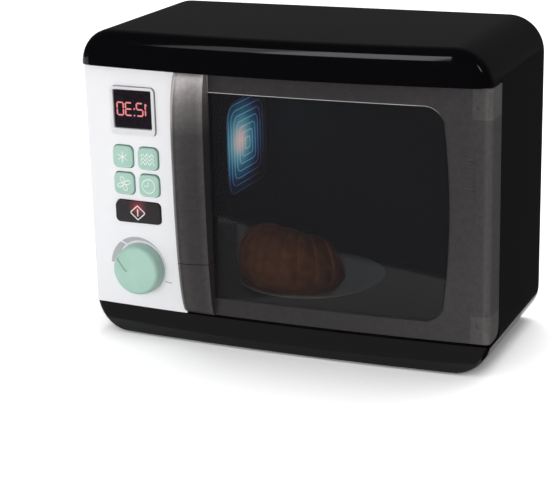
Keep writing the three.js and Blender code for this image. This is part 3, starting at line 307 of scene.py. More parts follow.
# %% [markdown]
# ## Black gloss ABS
# The hood, the band and the back are injection moulded in black ABS with a polished tool. Such a surface
# mirrors the studio, and it is never quite flat: the plastic sinks a little over ribs and bosses. A very
# low, wide noise in the bump gives that slow ripple, and a finer one in the roughness gives the faint
# handling haze that keeps the gloss from looking like glass.

# %% ABS, black and polished
HAZE_MM, RIPPLE_MM = 9, 45
black, tree, shader, mm = start("ABS_black_polished", "#070709", 0.09)
haze = add(tree, "ShaderNodeTexNoise", {"Vector": mm, "Scale": 1 / HAZE_MM, "Detail": 5, "Roughness": 0.6})
spread = add(tree, "ShaderNodeMapRange", {"Value": haze, "To Min": 0.05, "To Max": 0.13})
ripple = add(tree, "ShaderNodeTexNoise", {"Vector": mm, "Scale": 1 / RIPPLE_MM, "Detail": 1})
bump = add(tree, "ShaderNodeBump", {"Height": ripple, "Strength": 0.25, "Distance": 0.0008})
fill(tree, shader, {"Roughness": spread, "Normal": bump})
print("made", black.name)

# %% [markdown]
# ## White, mint and silver
# The panel is white ABS from a satin tool. The keys and the knob are a soft mint, a little matter,
# because fingers rub them. The display's frame is metallised plastic, which is bright but milky. They
# share one recipe: two close tones, a roughness that wanders a little and a fine moulding grain, each
# with its own numbers. The grain is drawn at 0.6 to 1.5 mm, coarser than the real one, so that it shows.

# %% Satin ABS in colours
TONE_MM, RUB_MM = 14, 5


def satin(name, base, shade, rough, grain_mm, depth_mm, spread_by=0.08, **sockets):
    material, tree, shader, mm = start(name, base, rough, **sockets)
    tone = add(tree, "ShaderNodeTexNoise", {"Vector": mm, "Scale": 1 / TONE_MM, "Detail": 3})
    tint = add(tree, "ShaderNodeValToRGB", {"Fac": tone}, ((0.3, base), (0.75, shade)))
    rub = add(tree, "ShaderNodeTexNoise", {"Vector": mm, "Scale": 1 / RUB_MM, "Detail": 4})
    low, high = rough - spread_by, rough + spread_by
    spread = add(tree, "ShaderNodeMapRange", {"Value": rub, "To Min": low, "To Max": high})
    grain = add(tree, "ShaderNodeTexNoise", {"Vector": mm, "Scale": 1 / grain_mm, "Detail": 2})
    bump = add(tree, "ShaderNodeBump", {"Height": grain, "Strength": 0.3, "Distance": depth_mm / 1000})
    fill(tree, shader, {"Base Color": tint, "Roughness": spread, "Normal": bump})
    return material


white = satin("ABS_white_satin", "#f1f1f4", "#efeff2", 0.36, 0.9, 0.01, 0.03)
mint = satin("ABS_mint_satin", "#aed1c3", "#a6cabc", 0.34, 0.8, 0.02)
mint_pale = satin("ABS_mint_pale_line", "#eef8f3", "#e6f3ec", 0.4, 0.8, 0.01)
silver = satin("metallised_ABS_silver", "#f2f2f4", "#ececee", 0.34, 0.9, 0.01, 0.03, Metallic=0.2)
ink_grey = satin("pad_print_grey", "#b9b7bd", "#b2b0b6", 0.45, 1.2, 0.005)
ink_white = satin("pad_print_white", "#f4f3f5", "#eeedf0", 0.45, 1.2, 0.005)
matt_black = satin("ABS_black_matt", "#161618", "#1b1b1d", 0.5, 1.1, 0.03)
rubber = satin("rubber_black_moulded", "#1c1c1d", "#222223", 0.75, 1.3, 0.05)
print("made the satin finishes")

# %% [markdown]
# ## The start key's glow
# The start key is black, and a small red lamp behind it shines through round its mark. The lamp isn't
# traced through the plastic. The cap gives off a red that fades out 7.5 mm from the lamp's axis, which
# looks the same and costs nothing.

# %% Black key with a red glow
START_LAMP, START_REACH = (-105.6, 0.0, 94.5), 7.5
key_black = satin("ABS_black_key", "#2a2627", "#2e292a", 0.35, 0.9, 0.02)
tree = key_black.node_tree
share = closeness(tree, tree.nodes["Vector Math"], START_LAMP, (1, 0, 1), START_REACH)
red = add(tree, "ShaderNodeValToRGB", {"Fac": share}, (
    (0.0, "#c8323e"), (0.45, "#5a1a20"), (1.0, "#000000")))
fill(tree, tree.nodes["Principled BSDF"], {"Emission Color": red, "Emission Strength": 1.0})
print("made", key_black.name)

# %% [markdown]
# ## Smoked polycarbonate, grained
# The door is one moulding in smoked polycarbonate with a metallic tone. Its border was spark eroded in
# the tool, which gives a fine even grain and a warm dark grey. The grain is drawn at 0.7 mm, coarser than
# the real 0.1 mm, so that it shows at all. A studio's light falls off over such a surface in broad bands.
# They are painted into the base colour here as painted light: the pull has a painted highlight at its top,
# painted stripes of light and shade down its bend and a painted highlight on its lip, the border is painted
# lighter towards the right corner, and painted light lies over the two hinge blocks.

# %% Door border
PULL_X, CREASE_Z, CREASE_HALF = (-71.0, -48.0), 61.9, 0.35
# Where painted light lies on the border over the two hinge blocks.
PAINTED_PATCH_X, PAINTED_PATCH_HEIGHTS, PAINTED_PATCH_HALF = 132.2, (32.0, 182.4), 10.2
GRAIN_MM, CLOUD_MM = 0.7, 3.5
PAINTED_LIGHT_CAP = (0.6, 0.57, 0.55)
smoke, tree, shader, mm = start("polycarbonate_grey_metallic_grained_with_painted_light", "#444140", 0.42, Metallic=0.5)
grain = add(tree, "ShaderNodeTexNoise", {"Vector": mm, "Scale": 1 / GRAIN_MM, "Detail": 4, "Roughness": 0.7})
tone = add(tree, "ShaderNodeValToRGB", {"Fac": grain}, ((0.3, "#3f3d3d"), (0.7, "#4b4848")))
axes = add(tree, "ShaderNodeSeparateXYZ", {0: mm})
x_mm, z_mm = axes.outputs["X"], axes.outputs["Z"]

# Painted highlight: the pull's base colour grows brighter towards its top.
height = add(tree, "ShaderNodeMapRange", {"Value": z_mm, "From Min": 110, "From Max": 192.5})
rise = add(tree, "ShaderNodeValToRGB", {"Fac": height}, (
    (0.0, 0.155), (0.5, 0.18), (0.75, 0.42), (0.9, 0.75), (1.0, 1.0)))
# Painted stripes of light and shade across the pull's bend, with a painted highlight on its lip.
across = add(tree, "ShaderNodeMapRange", {"Value": x_mm, "From Min": PULL_X[0], "From Max": PULL_X[1]})
pull_painted_stripes = add(tree, "ShaderNodeValToRGB", {"Fac": across}, (
    (0.08, 1.0), (0.14, 0.27), (0.22, 0.38), (0.5, 0.31), (0.78, 0.3), (0.92, 0.4)))
# The pull is darker along a thin line across it at z 61.9 mm.
crease = add(tree, "ShaderNodeMath", {0: z_mm, 1: CREASE_Z, 2: CREASE_HALF}, operation="COMPARE")
thin_dark_line_gain = add(tree, "ShaderNodeMapRange", {"Value": crease, "To Min": 27.0, "To Max": 9.0})
pull_painted_light = add(tree, "ShaderNodeMath", {0: rise, 1: pull_painted_stripes}, operation="MULTIPLY")
pull_painted_light_gain = add(tree, "ShaderNodeMath", {0: pull_painted_light, 1: thin_dark_line_gain}, operation="MULTIPLY")

# Painted light: the border's colour grows lighter towards the right corner, most of all on the corner itself.
aside = add(tree, "ShaderNodeMapRange", {"Value": x_mm, "From Min": 60, "From Max": 145})
aside = add(tree, "ShaderNodeValToRGB", {"Fac": aside}, ((0.0, 0.34), (0.8, 0.44), (0.93, 0.5), (1.0, 1.0)))
# Painted light over the two hinge blocks: a brighter patch of the border at each block's height.
upper, lower = (add(tree, "ShaderNodeMath", {0: z_mm, 1: z, 2: PAINTED_PATCH_HALF}, operation="COMPARE")
                for z in PAINTED_PATCH_HEIGHTS)
over_block = add(tree, "ShaderNodeMath", {0: upper, 1: lower}, operation="ADD")
at_hinge = add(tree, "ShaderNodeMath", {0: x_mm, 1: PAINTED_PATCH_X}, operation="GREATER_THAN")
hinge_painted_light = add(tree, "ShaderNodeMath", {0: over_block, 1: at_hinge}, operation="MULTIPLY")
hinge_painted_light = add(tree, "ShaderNodeMapRange", {"Value": hinge_painted_light, "To Min": 3.0, "To Max": 4.1})
border_painted_light = add(tree, "ShaderNodeMath", {0: aside, 1: hinge_painted_light}, operation="MULTIPLY")

# The base colour is scaled by painted light: the pull's painted gain on the pull, the border's elsewhere.
on_pull = add(tree, "ShaderNodeMath", {0: x_mm, 1: PULL_X[1]}, operation="LESS_THAN")
gain = add(tree, "ShaderNodeMix", {0: on_pull, 2: border_painted_light, 3: pull_painted_light_gain})
cloud = add(tree, "ShaderNodeTexNoise", {"Vector": mm, "Scale": 1 / CLOUD_MM, "Detail": 5, "Roughness": 0.7})
cloud = add(tree, "ShaderNodeMapRange", {
    "Value": cloud, "From Min": 0.3, "From Max": 0.7, "To Min": 0.86, "To Max": 1.14})
gain = add(tree, "ShaderNodeMath", {0: gain, 1: cloud}, operation="MULTIPLY")
# The grained tone times the painted light gives the base colour, capped at its brightest.
shade = add(tree, "ShaderNodeVectorMath", {0: tone, "Scale": gain}, operation="SCALE")
shade = add(tree, "ShaderNodeVectorMath", {0: shade, 1: PAINTED_LIGHT_CAP}, operation="MINIMUM")
bump = add(tree, "ShaderNodeBump", {"Height": grain, "Strength": 0.5, "Distance": 0.0001})
fill(tree, shader, {"Base Color": shade, "Normal": bump})
print("made", smoke.name)

# %% [markdown]
# ## Smoked polycarbonate, polished
# The window's pad was polished, so the oven shows through it. It lets light through by its alpha, and it
# is nearly black where nothing behind it is lit. Its upper edge turns towards the lamps and carries a painted
# highlight, a thin white line that glows a little, on the faces that look up, above z 170, fading to the
# right.
# The display's screen is a dark acrylic plate with a little dust.

# %% Window and screen
HIGHLIGHT_LOW = 170.0
HIGHLIGHT_FADES = {"From Min": 95, "From Max": 112, "To Min": 1.0, "To Max": 0.3}
clear, tree, shader, mm = start("polycarbonate_smoked_polished_with_painted_highlight", "#242426", 0.03, IOR=1.44)
normal = add(tree, "ShaderNodeTexCoord").outputs["Normal"]
upwards = add(tree, "ShaderNodeSeparateXYZ", {0: normal}).outputs["Z"]
axes = add(tree, "ShaderNodeSeparateXYZ", {0: mm})
high_up = add(tree, "ShaderNodeMath", {0: axes.outputs["Z"], 1: HIGHLIGHT_LOW}, operation="GREATER_THAN")
# Painted highlight on the pad's upper edge: a mask of the faces that look up, above z 170, fading to the
# right.
edge = add(tree, "ShaderNodeMapRange", {"Value": upwards, "From Min": 0.35, "From Max": 0.75})
fade = add(tree, "ShaderNodeMapRange", {"Value": axes.outputs["X"], **HIGHLIGHT_FADES})
edge = add(tree, "ShaderNodeMath", {0: edge, 1: high_up}, operation="MULTIPLY")
edge = add(tree, "ShaderNodeMath", {0: edge, 1: fade}, operation="MULTIPLY")
# The painted highlight makes the edge white, opaque and glowing a little.
base = add(tree, "ShaderNodeValToRGB", {"Fac": edge}, ((0.0, "#252527"), (1.0, "#f4f4f6")))
highlight_opacity = add(tree, "ShaderNodeValToRGB", {"Fac": edge}, ((0.0, 0.52), (1.0, 1.0)))
painted_highlight_glow = add(tree, "ShaderNodeValToRGB", {"Fac": edge}, ((0.0, "#000000"), (1.0, "#c8c6c3")))
wave = add(tree, "ShaderNodeTexNoise", {"Vector": mm, "Scale": 1 / 60, "Detail": 1})
bump = add(tree, "ShaderNodeBump", {"Height": wave, "Strength": 0.2, "Distance": 0.0006})
fill(tree, shader, {"Base Color": base, "Alpha": highlight_opacity, "Emission Color": painted_highlight_glow, "Emission Strength": 1.0,
                    "Normal": bump})

screen, tree, shader, mm = start("acrylic_smoked_screen", "#1d171e", 0.12)
dust = add(tree, "ShaderNodeTexNoise", {"Vector": mm, "Scale": 1 / 2.5, "Detail": 3})
tint = add(tree, "ShaderNodeValToRGB", {"Fac": dust}, ((0.35, "#1b161c"), (0.75, "#262027")))
fill(tree, shader, {"Base Color": tint})
print("made the window and screen finishes")

# %% [markdown]
# ## Lit parts
# The digits are red segments in front of the dark screen. The lens in the cavity's wall spreads the light
# of one blue-white lamp: near white at the lamp, turning blue and fading outwards. The ridges glow more
# than the plate between them, so that they are seen one by one. All of it glows only a little.

# %% Glowing finishes
digit_red, tree, shader, mm = start("LED_red_segment", "#7a2020", 0.4)
glow = add(tree, "ShaderNodeTexNoise", {"Vector": mm, "Scale": 1 / 1.5})
tint = add(tree, "ShaderNodeValToRGB", {"Fac": glow}, ((0.3, "#f08a8c"), (0.7, "#f6aaaa")))
fill(tree, shader, {"Emission Color": tint, "Emission Strength": 0.75})

LENS_CORE, LENS_STRETCH, LENS_REACH, LENS_STRENGTH = (0.0, 67.5, 130.5), (0, 1, 1.12), 45.0, 1.8


def lens_finish(name, *stops):
    """Frosted plastic that glows less with the distance from the lamp behind it."""
    material, tree, shader, mm = start(name, "#0c1118", 0.35)
    share = closeness(tree, mm, LENS_CORE, LENS_STRETCH, LENS_REACH)
    glow = add(tree, "ShaderNodeValToRGB", {"Fac": share}, stops)
    fill(tree, shader, {"Emission Color": glow, "Emission Strength": LENS_STRENGTH})
    return material


lens_plate = lens_finish(
    "polycarbonate_lens_frosted", (0.0, "#ffe4e0"), (0.14, "#e2d2d2"), (0.3, "#6fb0c6"), (0.5, "#2c6a88"),
    (0.75, "#14243c"), (1.0, "#06060c"))
lens_ridge = lens_finish(
    "polycarbonate_lens_ridge", (0.0, "#ffe9e6"), (0.2, "#d8e6ee"), (0.35, "#93cfe0"), (0.6, "#5f96c4"),
    (0.8, "#474f80"), (1.0, "#1c1c2a"))
print("made the glowing finishes")

# %% [markdown]
# ## Finishes of the food and the small parts
# The plate is moulded in white polypropylene and the croissant in soft PVC, sprayed a deeper brown where
# a real one would be baked. The parts inside the housing are steel, glass fibre board, epoxy, zinc cells
# and wire. They seldom show, but they have their own finish, since the model can be opened.

# %% Food, metal and boards
plate_white = satin("polypropylene_white", "#f2efe9", "#eae6df", 0.3, 1.5, 0.03)
dough, tree, shader, mm = start("PVC_baked_orange", "#d98a5e", 0.3)
baked = add(tree, "ShaderNodeTexNoise", {"Vector": mm, "Scale": 1 / 7, "Detail": 5, "Roughness": 0.65})
tint = add(tree, "ShaderNodeValToRGB", {"Fac": baked}, (
    (0.3, "#b55c30"), (0.5, "#de8a50"), (0.75, "#f0a872")))
flake = add(tree, "ShaderNodeTexNoise", {"Vector": mm, "Scale": 1 / 1.8, "Detail": 4})
bump = add(tree, "ShaderNodeBump", {"Height": flake, "Strength": 0.6, "Distance": 0.0005})
fill(tree, shader, {"Base Color": tint, "Normal": bump})

steel = satin("steel_zinc_plated", "#b4b5b7", "#9d9ea1", 0.3, 0.6, 0.01, Metallic=1.0)
board_green = satin("glass_fibre_board_green", "#1f5a34", "#1a4d2d", 0.4, 0.8, 0.02)
component = satin("epoxy_black_moulded", "#1e1e20", "#26262a", 0.5, 0.6, 0.02)
cell_wrap = satin("PVC_sleeve_grey", "#8d8f94", "#7f8187", 0.35, 1.5, 0.01)
wire_red = satin("PVC_wire_red", "#8e2b26", "#7f2520", 0.45, 0.8, 0.01)
print("made the small finishes")

# %% [markdown]
# ## The form of the housing
# Seen from the front the housing is a rectangle with large round corners, and its face bows gently: the
# corners stand 5.5 mm behind the middle. The hood above stands proud of the door and bows more. Rings
# of this outline, drawn in from the edge as they come forward, give the rounded front edge. The same
# rings, pulled inwards by the wall, give the hollow.

# %% Outline rings
HALF, TOP, FOOT, CORNER, WALL, SEAM = 145.0, 217.5, 1.0, 24.6, 2.5, 80.7
BAND_TOP, HOOD_LOW = 21.4, 193.5
SKIN, SKIN_GAP, WRAP, WRAP_GAP, SKIN_CORNER, GAP = 2.4, 0.6, 25.6, 0.8, 3.4, 0.3
CORNER_STEPS, BOW_STEPS, ROUND_STEPS, SKIN_STEPS = 14, 28, 8, 8
FACE_BOW, HOOD_BOW, HOOD_OUT = 5.5, 10.0, 11.5


def face(x):
    """The depth of the bowed face at x."""
    return FACE_BOW * (x / HALF) ** 2


def hood_face(x):
    return HOOD_BOW * (x / HALF) ** 2 - HOOD_OUT


def columns(side, end):
    """The outline as (x, low z, high z), drawn in by side and end."""
    radius_x, radius_z = CORNER - side, CORNER - end
    flat = HALF - side - radius_x
    left = []
    for i in range(CORNER_STEPS + 1):
        a = math.pi / 2 * i / CORNER_STEPS
        left.append((-(flat + radius_x * math.cos(a)), radius_z * (1 - math.sin(a))))
    middle = [(flat * (2 * i / BOW_STEPS - 1), 0) for i in range(1, BOW_STEPS)]
    right = [(-x, drop) for x, drop in reversed(left)]
    return [(x, FOOT + end + drop, TOP - end - drop) for x, drop in left + middle + right]


def outline_ring(side, end, depth):
    line = columns(side, end)
    upper = [(x, depth(x), high) for x, _, high in line]
    return upper + [(x, depth(x), low) for x, low, _ in reversed(line)]


def rounded_block(name, front, side, end, back):
    """A block whose front edge is rounded by side and end, behind a bowed front."""
    rings = []
    for k in range(ROUND_STEPS + 1):
        a = math.pi / 2 * k / ROUND_STEPS
        inset, deep = 1 - math.sin(a), side * (1 - math.cos(a))
        rings.append(outline_ring(side * inset, end * inset, lambda x: front(x) + deep))
    return lofted(name, rings + [outline_ring(0, 0, lambda x: back)], "strip")


def inset_block(name, inset, front, back):
    return lofted(name, [outline_ring(inset, inset, lambda x: d) for d in (front, back)], "strip")


def skin_line(inset, tip, edge):
    """The plan of a skin that wraps the left corner, from its tip on the side to an edge on the face."""
    radius = max(SKIN_CORNER - inset, 0.5)
    centre = inset + radius - HALF
    points = [(inset - HALF, tip)]
    for i in range(SKIN_STEPS + 1):
        a = math.pi / 2 * i / SKIN_STEPS
        points.append((centre - radius * math.cos(a), face(centre) + inset + radius - radius * math.sin(a)))
    for i in range(1, BOW_STEPS + 1):
        x = centre + (edge - centre) * i / BOW_STEPS
        points.append((x, face(x) + inset))
    return points


def frame_plan(extra, back):
    """The plan of the frame under the panel and the door. Extra draws it in by a wall."""
    inset, step = SKIN + SKIN_GAP + extra, WRAP + WRAP_GAP + extra
    left = skin_line(inset, step, 0)
    right = [(-x, y) for x, y in reversed(left)]
    edge = HALF - extra
    return [(-edge, back), (-edge, step)] + left + right[1:] + [(edge, step), (edge, back)]


print("outline points:", len(outline_ring(0, 0, face)))

# %% [markdown]
# ## The front shell
# One moulding makes the hood, the band, the sides and the frame that the door closes on. It is built as
# the toolmaker thinks of it: the outer forms added together, then the hollow cored out, then the
# openings. The holes for the controls and the cavity go through the frame, and a round socket at the
# right takes the door's wrapped edge when it turns. A cutting form runs on 5 mm past what it cuts, so
# that no two faces lie in one plane.

# %% Front shell
ROOM_BOW, OVERRUN = 3.5, 5


def front_rooms():
    """The hollows behind the frame, the hood and the band."""
    beyond = SEAM + OVERRUN
    hollow = within(prism("hollow", "z", frame_plan(WALL, beyond), 0, TOP),
                    inset_block("limit", WALL, -HOUSING_BACK, beyond))
    rooms = [hollow]
    for front, low, high in ((hood_face, HOOD_LOW + WALL, TOP), (face, 0, BAND_TOP - WALL)):
        line = [(x, front(x) + WALL + ROOM_BOW * (x / HALF) ** 2) for x, _, _ in columns(WALL, WALL)]
        plan = line + [(HALF - WALL, beyond), (WALL - HALF, beyond)]
        rooms.append(within(prism("room", "z", plan, low, high),
                            inset_block("limit", 2 * WALL, -HOUSING_BACK, beyond)))
    return rooms


HINGE_X, HINGE_Y, SOCKET_R, SOCKET_WALL = 140.5, 20.5, 7.4, 2.0
CAVITY = (33.5, 110.0, 181.0, 152.0, 8.0)
CONTROL_X, CONTROL_HALF, CONTROL_EDGE = -105.6, 24.75, 9.6
FAR, FRAME_CUT = 2 * HALF, (-OVERRUN, 40)
front_shell = within(rounded_block("front_shell_moulding", hood_face, 10, 10, SEAM),
                     slab("above", -FAR, FAR, -FAR, SEAM, HOOD_LOW, TOP + OVERRUN))
band = within(rounded_block("band", face, SKIN_CORNER, 1.2, SEAM),
              slab("below", -FAR, FAR, -FAR, SEAM, 0, BAND_TOP))
middle = within(prism("middle", "z", frame_plan(0, SEAM), BAND_TOP - WALL, HOOD_LOW + WALL),
                inset_block("limit", 0, -OVERRUN, SEAM))
socket = rod("socket", "z", HINGE_X, HINGE_Y, SOCKET_R + SOCKET_WALL, BAND_TOP - WALL, HOOD_LOW + WALL)
within(socket, inset_block("limit", 0, WRAP + 0.4, SEAM))
plus(front_shell, band, middle)
less(front_shell, *front_rooms())
plus(front_shell, socket)
less(front_shell,
     rod("socket_room", "z", HINGE_X, HINGE_Y, SOCKET_R, BAND_TOP, HOOD_LOW),
     prism("cavity_opening", "y", rounded(*CAVITY), *FRAME_CUT),
     slab("control_opening", CONTROL_X - CONTROL_HALF, CONTROL_X + CONTROL_HALF, *FRAME_CUT,
          BAND_TOP + CONTROL_EDGE, HOOD_LOW - CONTROL_EDGE))
softened(front_shell, 0.35)
ready(front_shell, "oven", black, "black_plastic", "front_shell")

# %% [markdown]
# ## The rear shell
# The back is a tray with a small rounding all round. Four deep wells take the long housing screws, five
# slots let the speaker be heard, and one opening takes the battery cover. A slot that repeats at an even
# pitch is worked out by a rule: its length follows the circle of the speaker behind it.

# %% Rear shell
BOSSES = [(x, z) for z in (17.0, 201.0) for x in (-132.0, 132.0)]
BOSS_R, WELL_R, SCREW_HOLE_R, WELL = 4.2, 3.45, 1.75, 38.0
SPEAKER_Z, SPEAKER_R, SLOT_PITCH, BACK_ROUND = 56.0, 20.0, 6, 1.2
BACK_INNER = HOUSING_BACK - WALL
rings = [outline_ring(0, 0, lambda x: SEAM + GAP)]
for k in range(ROUND_STEPS + 1):
    a = math.pi / 2 * k / ROUND_STEPS
    inset = BACK_ROUND * (1 - math.cos(a))
    deep = HOUSING_BACK - BACK_ROUND * (1 - math.sin(a))
    rings.append(outline_ring(inset, inset, lambda x: deep))
rear_shell = lofted("rear_shell_moulding", rings, "strip")
less(rear_shell, inset_block("hollow", WALL, SEAM - OVERRUN, BACK_INNER))
for x, z in BOSSES:
    plus(rear_shell, rod("boss", "y", x, z, BOSS_R, SEAM + 2 * GAP, BACK_INNER + 1))
    less(rear_shell, rod("well", "y", x, z, WELL_R, HOUSING_BACK - WELL, HOUSING_BACK + OVERRUN),
         rod("hole", "y", x, z, SCREW_HOLE_R, SEAM - 1, HOUSING_BACK - WELL + 1))
cover_low, cover_high = (1000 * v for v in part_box("battery_cover"))
cover_w, cover_h = cover_high.x - cover_low.x, cover_high.z - cover_low.z
cover_z = (cover_low.z + cover_high.z) / 2
less(rear_shell, prism("cover_opening", "y", rounded(CONTROL_X, cover_z, cover_w + 0.8, cover_h + 0.8, 3),
                       BACK_INNER - OVERRUN, HOUSING_BACK + OVERRUN))
collar = rod("collar", "y", CONTROL_X, SPEAKER_Z, SPEAKER_R + 1.9, BACK_INNER - 8, BACK_INNER + 1)
plus(rear_shell, less(collar, rod("room", "y", CONTROL_X, SPEAKER_Z, SPEAKER_R + GAP, 0, BACK_INNER)))
for i in range(-2, 3):
    aside = SLOT_PITCH * i
    reach = math.sqrt((SPEAKER_R - 6) ** 2 - aside ** 2)
    less(rear_shell, prism("slot", "y", rounded(CONTROL_X + aside, SPEAKER_Z, 3, 2 * reach, 1.45, 5),
                           BACK_INNER - 1.25, HOUSING_BACK + OVERRUN))
softened(rear_shell, 0.4)
ready(rear_shell, "oven", black, "black_plastic", "rear_shell")

# %% [markdown]
# ## The cavity
# The oven's room is a separate box in matt black, open to the front, with a hole in its left wall where
# the light comes in. Its front edge follows the bow of the frame. A matt wall keeps the cavity dark, so
# that what is lit inside stands out through the smoked window.

# %% Cavity liner
LINER_WALL, LINER_DEEP = 1.8, 118.0
LENS_Y, LENS_Z, LENS_SIZE, LENS_CORNER = 80.0, 126.0, 68.0, 14.0
x, z, width, height, radius = CAVITY
outer = rounded(x, z, width + 2 * LINER_WALL, height + 2 * LINER_WALL, radius + LINER_WALL, 10)
liner = prism("cavity_liner_moulding", "y", outer, 0, LINER_DEEP + LINER_WALL)
less(liner, prism("room", "y", rounded(x, z, width, height, radius, 10), -OVERRUN, LINER_DEEP))
behind = [(x, face(x) + SKIN + SKIN_GAP + WALL + GAP) for x, _, _ in columns(WALL, WALL)]
within(liner, prism("behind", "z", behind + [(HALF, HOUSING_BACK), (-HALF, HOUSING_BACK)], 0, TOP))
lens_hole = rounded(LENS_Y, LENS_Z, LENS_SIZE + 2 * GAP, LENS_SIZE + 2 * GAP, LENS_CORNER)
less(liner, prism("lens_hole", "x", lens_hole, -62, -52))
softened(liner, 0.3)
ready(liner, "oven", matt_black, "liner_plastic", "cavity_liner")

# %% [markdown]
# ## The control panel
# A thin white skin lies on the frame and wraps round the left corner. It is bent in plan only, so its
# plan is drawn once and pushed upwards. Each key's hole has 0.3 to 0.7 mm to spare on a side, and the
# edges of the holes are rounded, which draws the fine line round each key.

# %% Control panel
DISPLAY_Z, SCREEN_Z, KNOB_Z, START_Z = 162.7, 163.9, 51.1, 91.0
CAPS = {
    "star_button": (CONTROL_X - 9.9, 129.9, 15.4, 15.4, 4.0),
    "waves_button": (CONTROL_X + 9.9, 129.9, 15.4, 15.4, 4.0),
    "fan_button": (CONTROL_X - 9.9, 110.9, 15.4, 15.4, 4.0),
    "clock_button": (CONTROL_X + 9.9, 110.9, 15.4, 15.4, 4.0),
    "start_button": (CONTROL_X, START_Z, 34.8, 15.1, 3.6),
}
PANEL_RIGHT, PANEL_CUT = -71.1, (-OVERRUN, 10)
DISPLAY_W, DISPLAY_H, DISPLAY_R, DISPLAY_ROOM = 33.9, 33.4, 3.2, 0.2
KEY_SHIFT, KEY_ROOM, SHAFT_HOLE_R = (0.1, 0.2), (0.8, 1.0), 3.3
plan = skin_line(0, WRAP, PANEL_RIGHT) + skin_line(SKIN, WRAP, PANEL_RIGHT)[::-1]
panel = within(prism("control_panel_moulding", "z", plan, BAND_TOP + GAP, HOOD_LOW - GAP),
               inset_block("limit", 0, -OVERRUN, HOUSING_BACK))
display_hole = rounded(CONTROL_X, DISPLAY_Z, DISPLAY_W + DISPLAY_ROOM, DISPLAY_H + DISPLAY_ROOM, DISPLAY_R)
less(panel, prism("display_hole", "y", display_hole, *PANEL_CUT))
for x, z, width, height, radius in CAPS.values():
    key_hole = rounded(x + KEY_SHIFT[0], z + KEY_SHIFT[1], width + KEY_ROOM[0], height + KEY_ROOM[1], radius)
    less(panel, prism("key_hole", "y", key_hole, *PANEL_CUT))
less(panel, rod("shaft_hole", "y", CONTROL_X, KNOB_Z, SHAFT_HOLE_R, *PANEL_CUT))
softened(panel, 0.3, 30)
ready(panel, "oven", white, "white_plastic", "control_panel")

# %% [markdown]
# ## The display
# A bright frame stands proud of the panel round a smoked screen. The frame is a sleeve: one outline
# carried forward, drawn in to a slight waist, out again at the front, and back down into the recess. The
# screen is a thin plate with a soft edge. The time is shown in slim bars with pointed ends, as a lit
# display has. The photograph is a mirror image, and the digits follow it.

# %% Display frame and screen
SCREEN_W, SCREEN_H, SCREEN_LIP, RECESS, WAIST = 28.6, 26.6, 0.8, 2.4, 1.2
front, back = face(CONTROL_X) - 2.6, 6.0


def sleeve(name, *stack):
    """A ring-shaped body through a stack of (outline, depth) pairs, closed on itself."""
    return lofted(name, [[(x, y, z) for x, z in outline] for outline, y in stack], "loop")


def screen_outline(extra, radius=0.8):
    return rounded(CONTROL_X, SCREEN_Z, SCREEN_W + extra, SCREEN_H + extra, radius)


waist = []
for k in (4, 3, 2, 1, 0):
    a = math.pi / 8 * k
    inset, deep = WAIST * math.sin(a), WAIST * (1 - math.cos(a))
    outline = rounded(CONTROL_X, DISPLAY_Z, DISPLAY_W - 2 * inset, DISPLAY_H - 2 * inset, DISPLAY_R - inset)
    waist.append((outline, front + deep))
display_frame = sleeve(
    "display_frame_moulding", (rounded(CONTROL_X, DISPLAY_Z, DISPLAY_W, DISPLAY_H, DISPLAY_R), back), *waist,
    (screen_outline(SCREEN_LIP, 1.2), front), (screen_outline(0), front + 0.6),
    (screen_outline(0), front + RECESS), (screen_outline(-1.6), front + RECESS), (screen_outline(-1.6), back))
softened(display_frame, 0.15)
ready(display_frame, "oven", silver, "silver_plastic", "display_frame")

glass = prism("display_window_plate", "y", screen_outline(-0.6), front + 0.6, front + 2.1)
softened(glass, 0.25)
ready(glass, "oven", screen, "dark_window", "display_window")

# %% [markdown]
# ## The digits
# A digit has seven bars, named a to g. Each bar runs between two corners of a grid that is one wide and
# two high, so a short table of corners is enough to draw them all.

# %% Digits
BARS = {"a": (0, 2, 1, 2), "b": (1, 2, 1, 1), "c": (1, 1, 1, 0), "d": (0, 0, 1, 0), "e": (0, 1, 0, 0),
        "f": (0, 2, 0, 1), "g": (0, 1, 1, 1)}
SHOWN = ((-117.2, "abcdef"), (-110.8, "adefg"), (-102.4, "acdfg"), (-100.4, "bc"))
DIGIT_LOW, DIGIT_FRONT, DIGIT_BACK = 159.7, front + 0.54, front + 0.7
BAR_WIDE, BAR_HIGH, BAR_THICK, BAR_TRIM = 4.7, 4.35, 1.05, 0.5
COLON_X, SERIF = -104.2, [(-95.9, 168.5), (-95.9, 167.3), (-94.5, 166.9), (-94.5, 167.7)]


def bar_outline(ends, left):
    """One bar with pointed ends, as a closed outline."""
    near = Vector((left + ends[0] * BAR_WIDE, DIGIT_LOW + ends[1] * BAR_HIGH))
    far = Vector((left + ends[2] * BAR_WIDE, DIGIT_LOW + ends[3] * BAR_HIGH))
    along = (far - near).normalized()
    side = Vector((-along.y, along.x)) * BAR_THICK / 2
    a, b, nib = near + along * BAR_TRIM, far - along * BAR_TRIM, along * BAR_THICK * 0.3
    return [a - nib, a + side, b + side, b + nib, b - side, a - side]


def merged(name, parts):
    """Several bodies as one object."""
    form = bmesh.new()
    for part in parts:
        form.from_mesh(part.data)
        bpy.data.objects.remove(part)
    mesh = bpy.data.meshes.new(name)
    form.to_mesh(mesh)
    form.free()
    return placed(name, mesh)


lit = [prism("bar", "y", bar_outline(BARS[name], left), DIGIT_FRONT, DIGIT_BACK)
       for left, names in SHOWN for name in names]
lit += [rod("dot", "y", COLON_X, DIGIT_LOW + up, 0.6, DIGIT_FRONT, DIGIT_BACK, 16) for up in (0.1, 4.6)]
lit.append(prism("serif", "y", SERIF, DIGIT_FRONT, DIGIT_BACK))
ready(merged("display_digits", lit), "oven", digit_red, "dark_window")

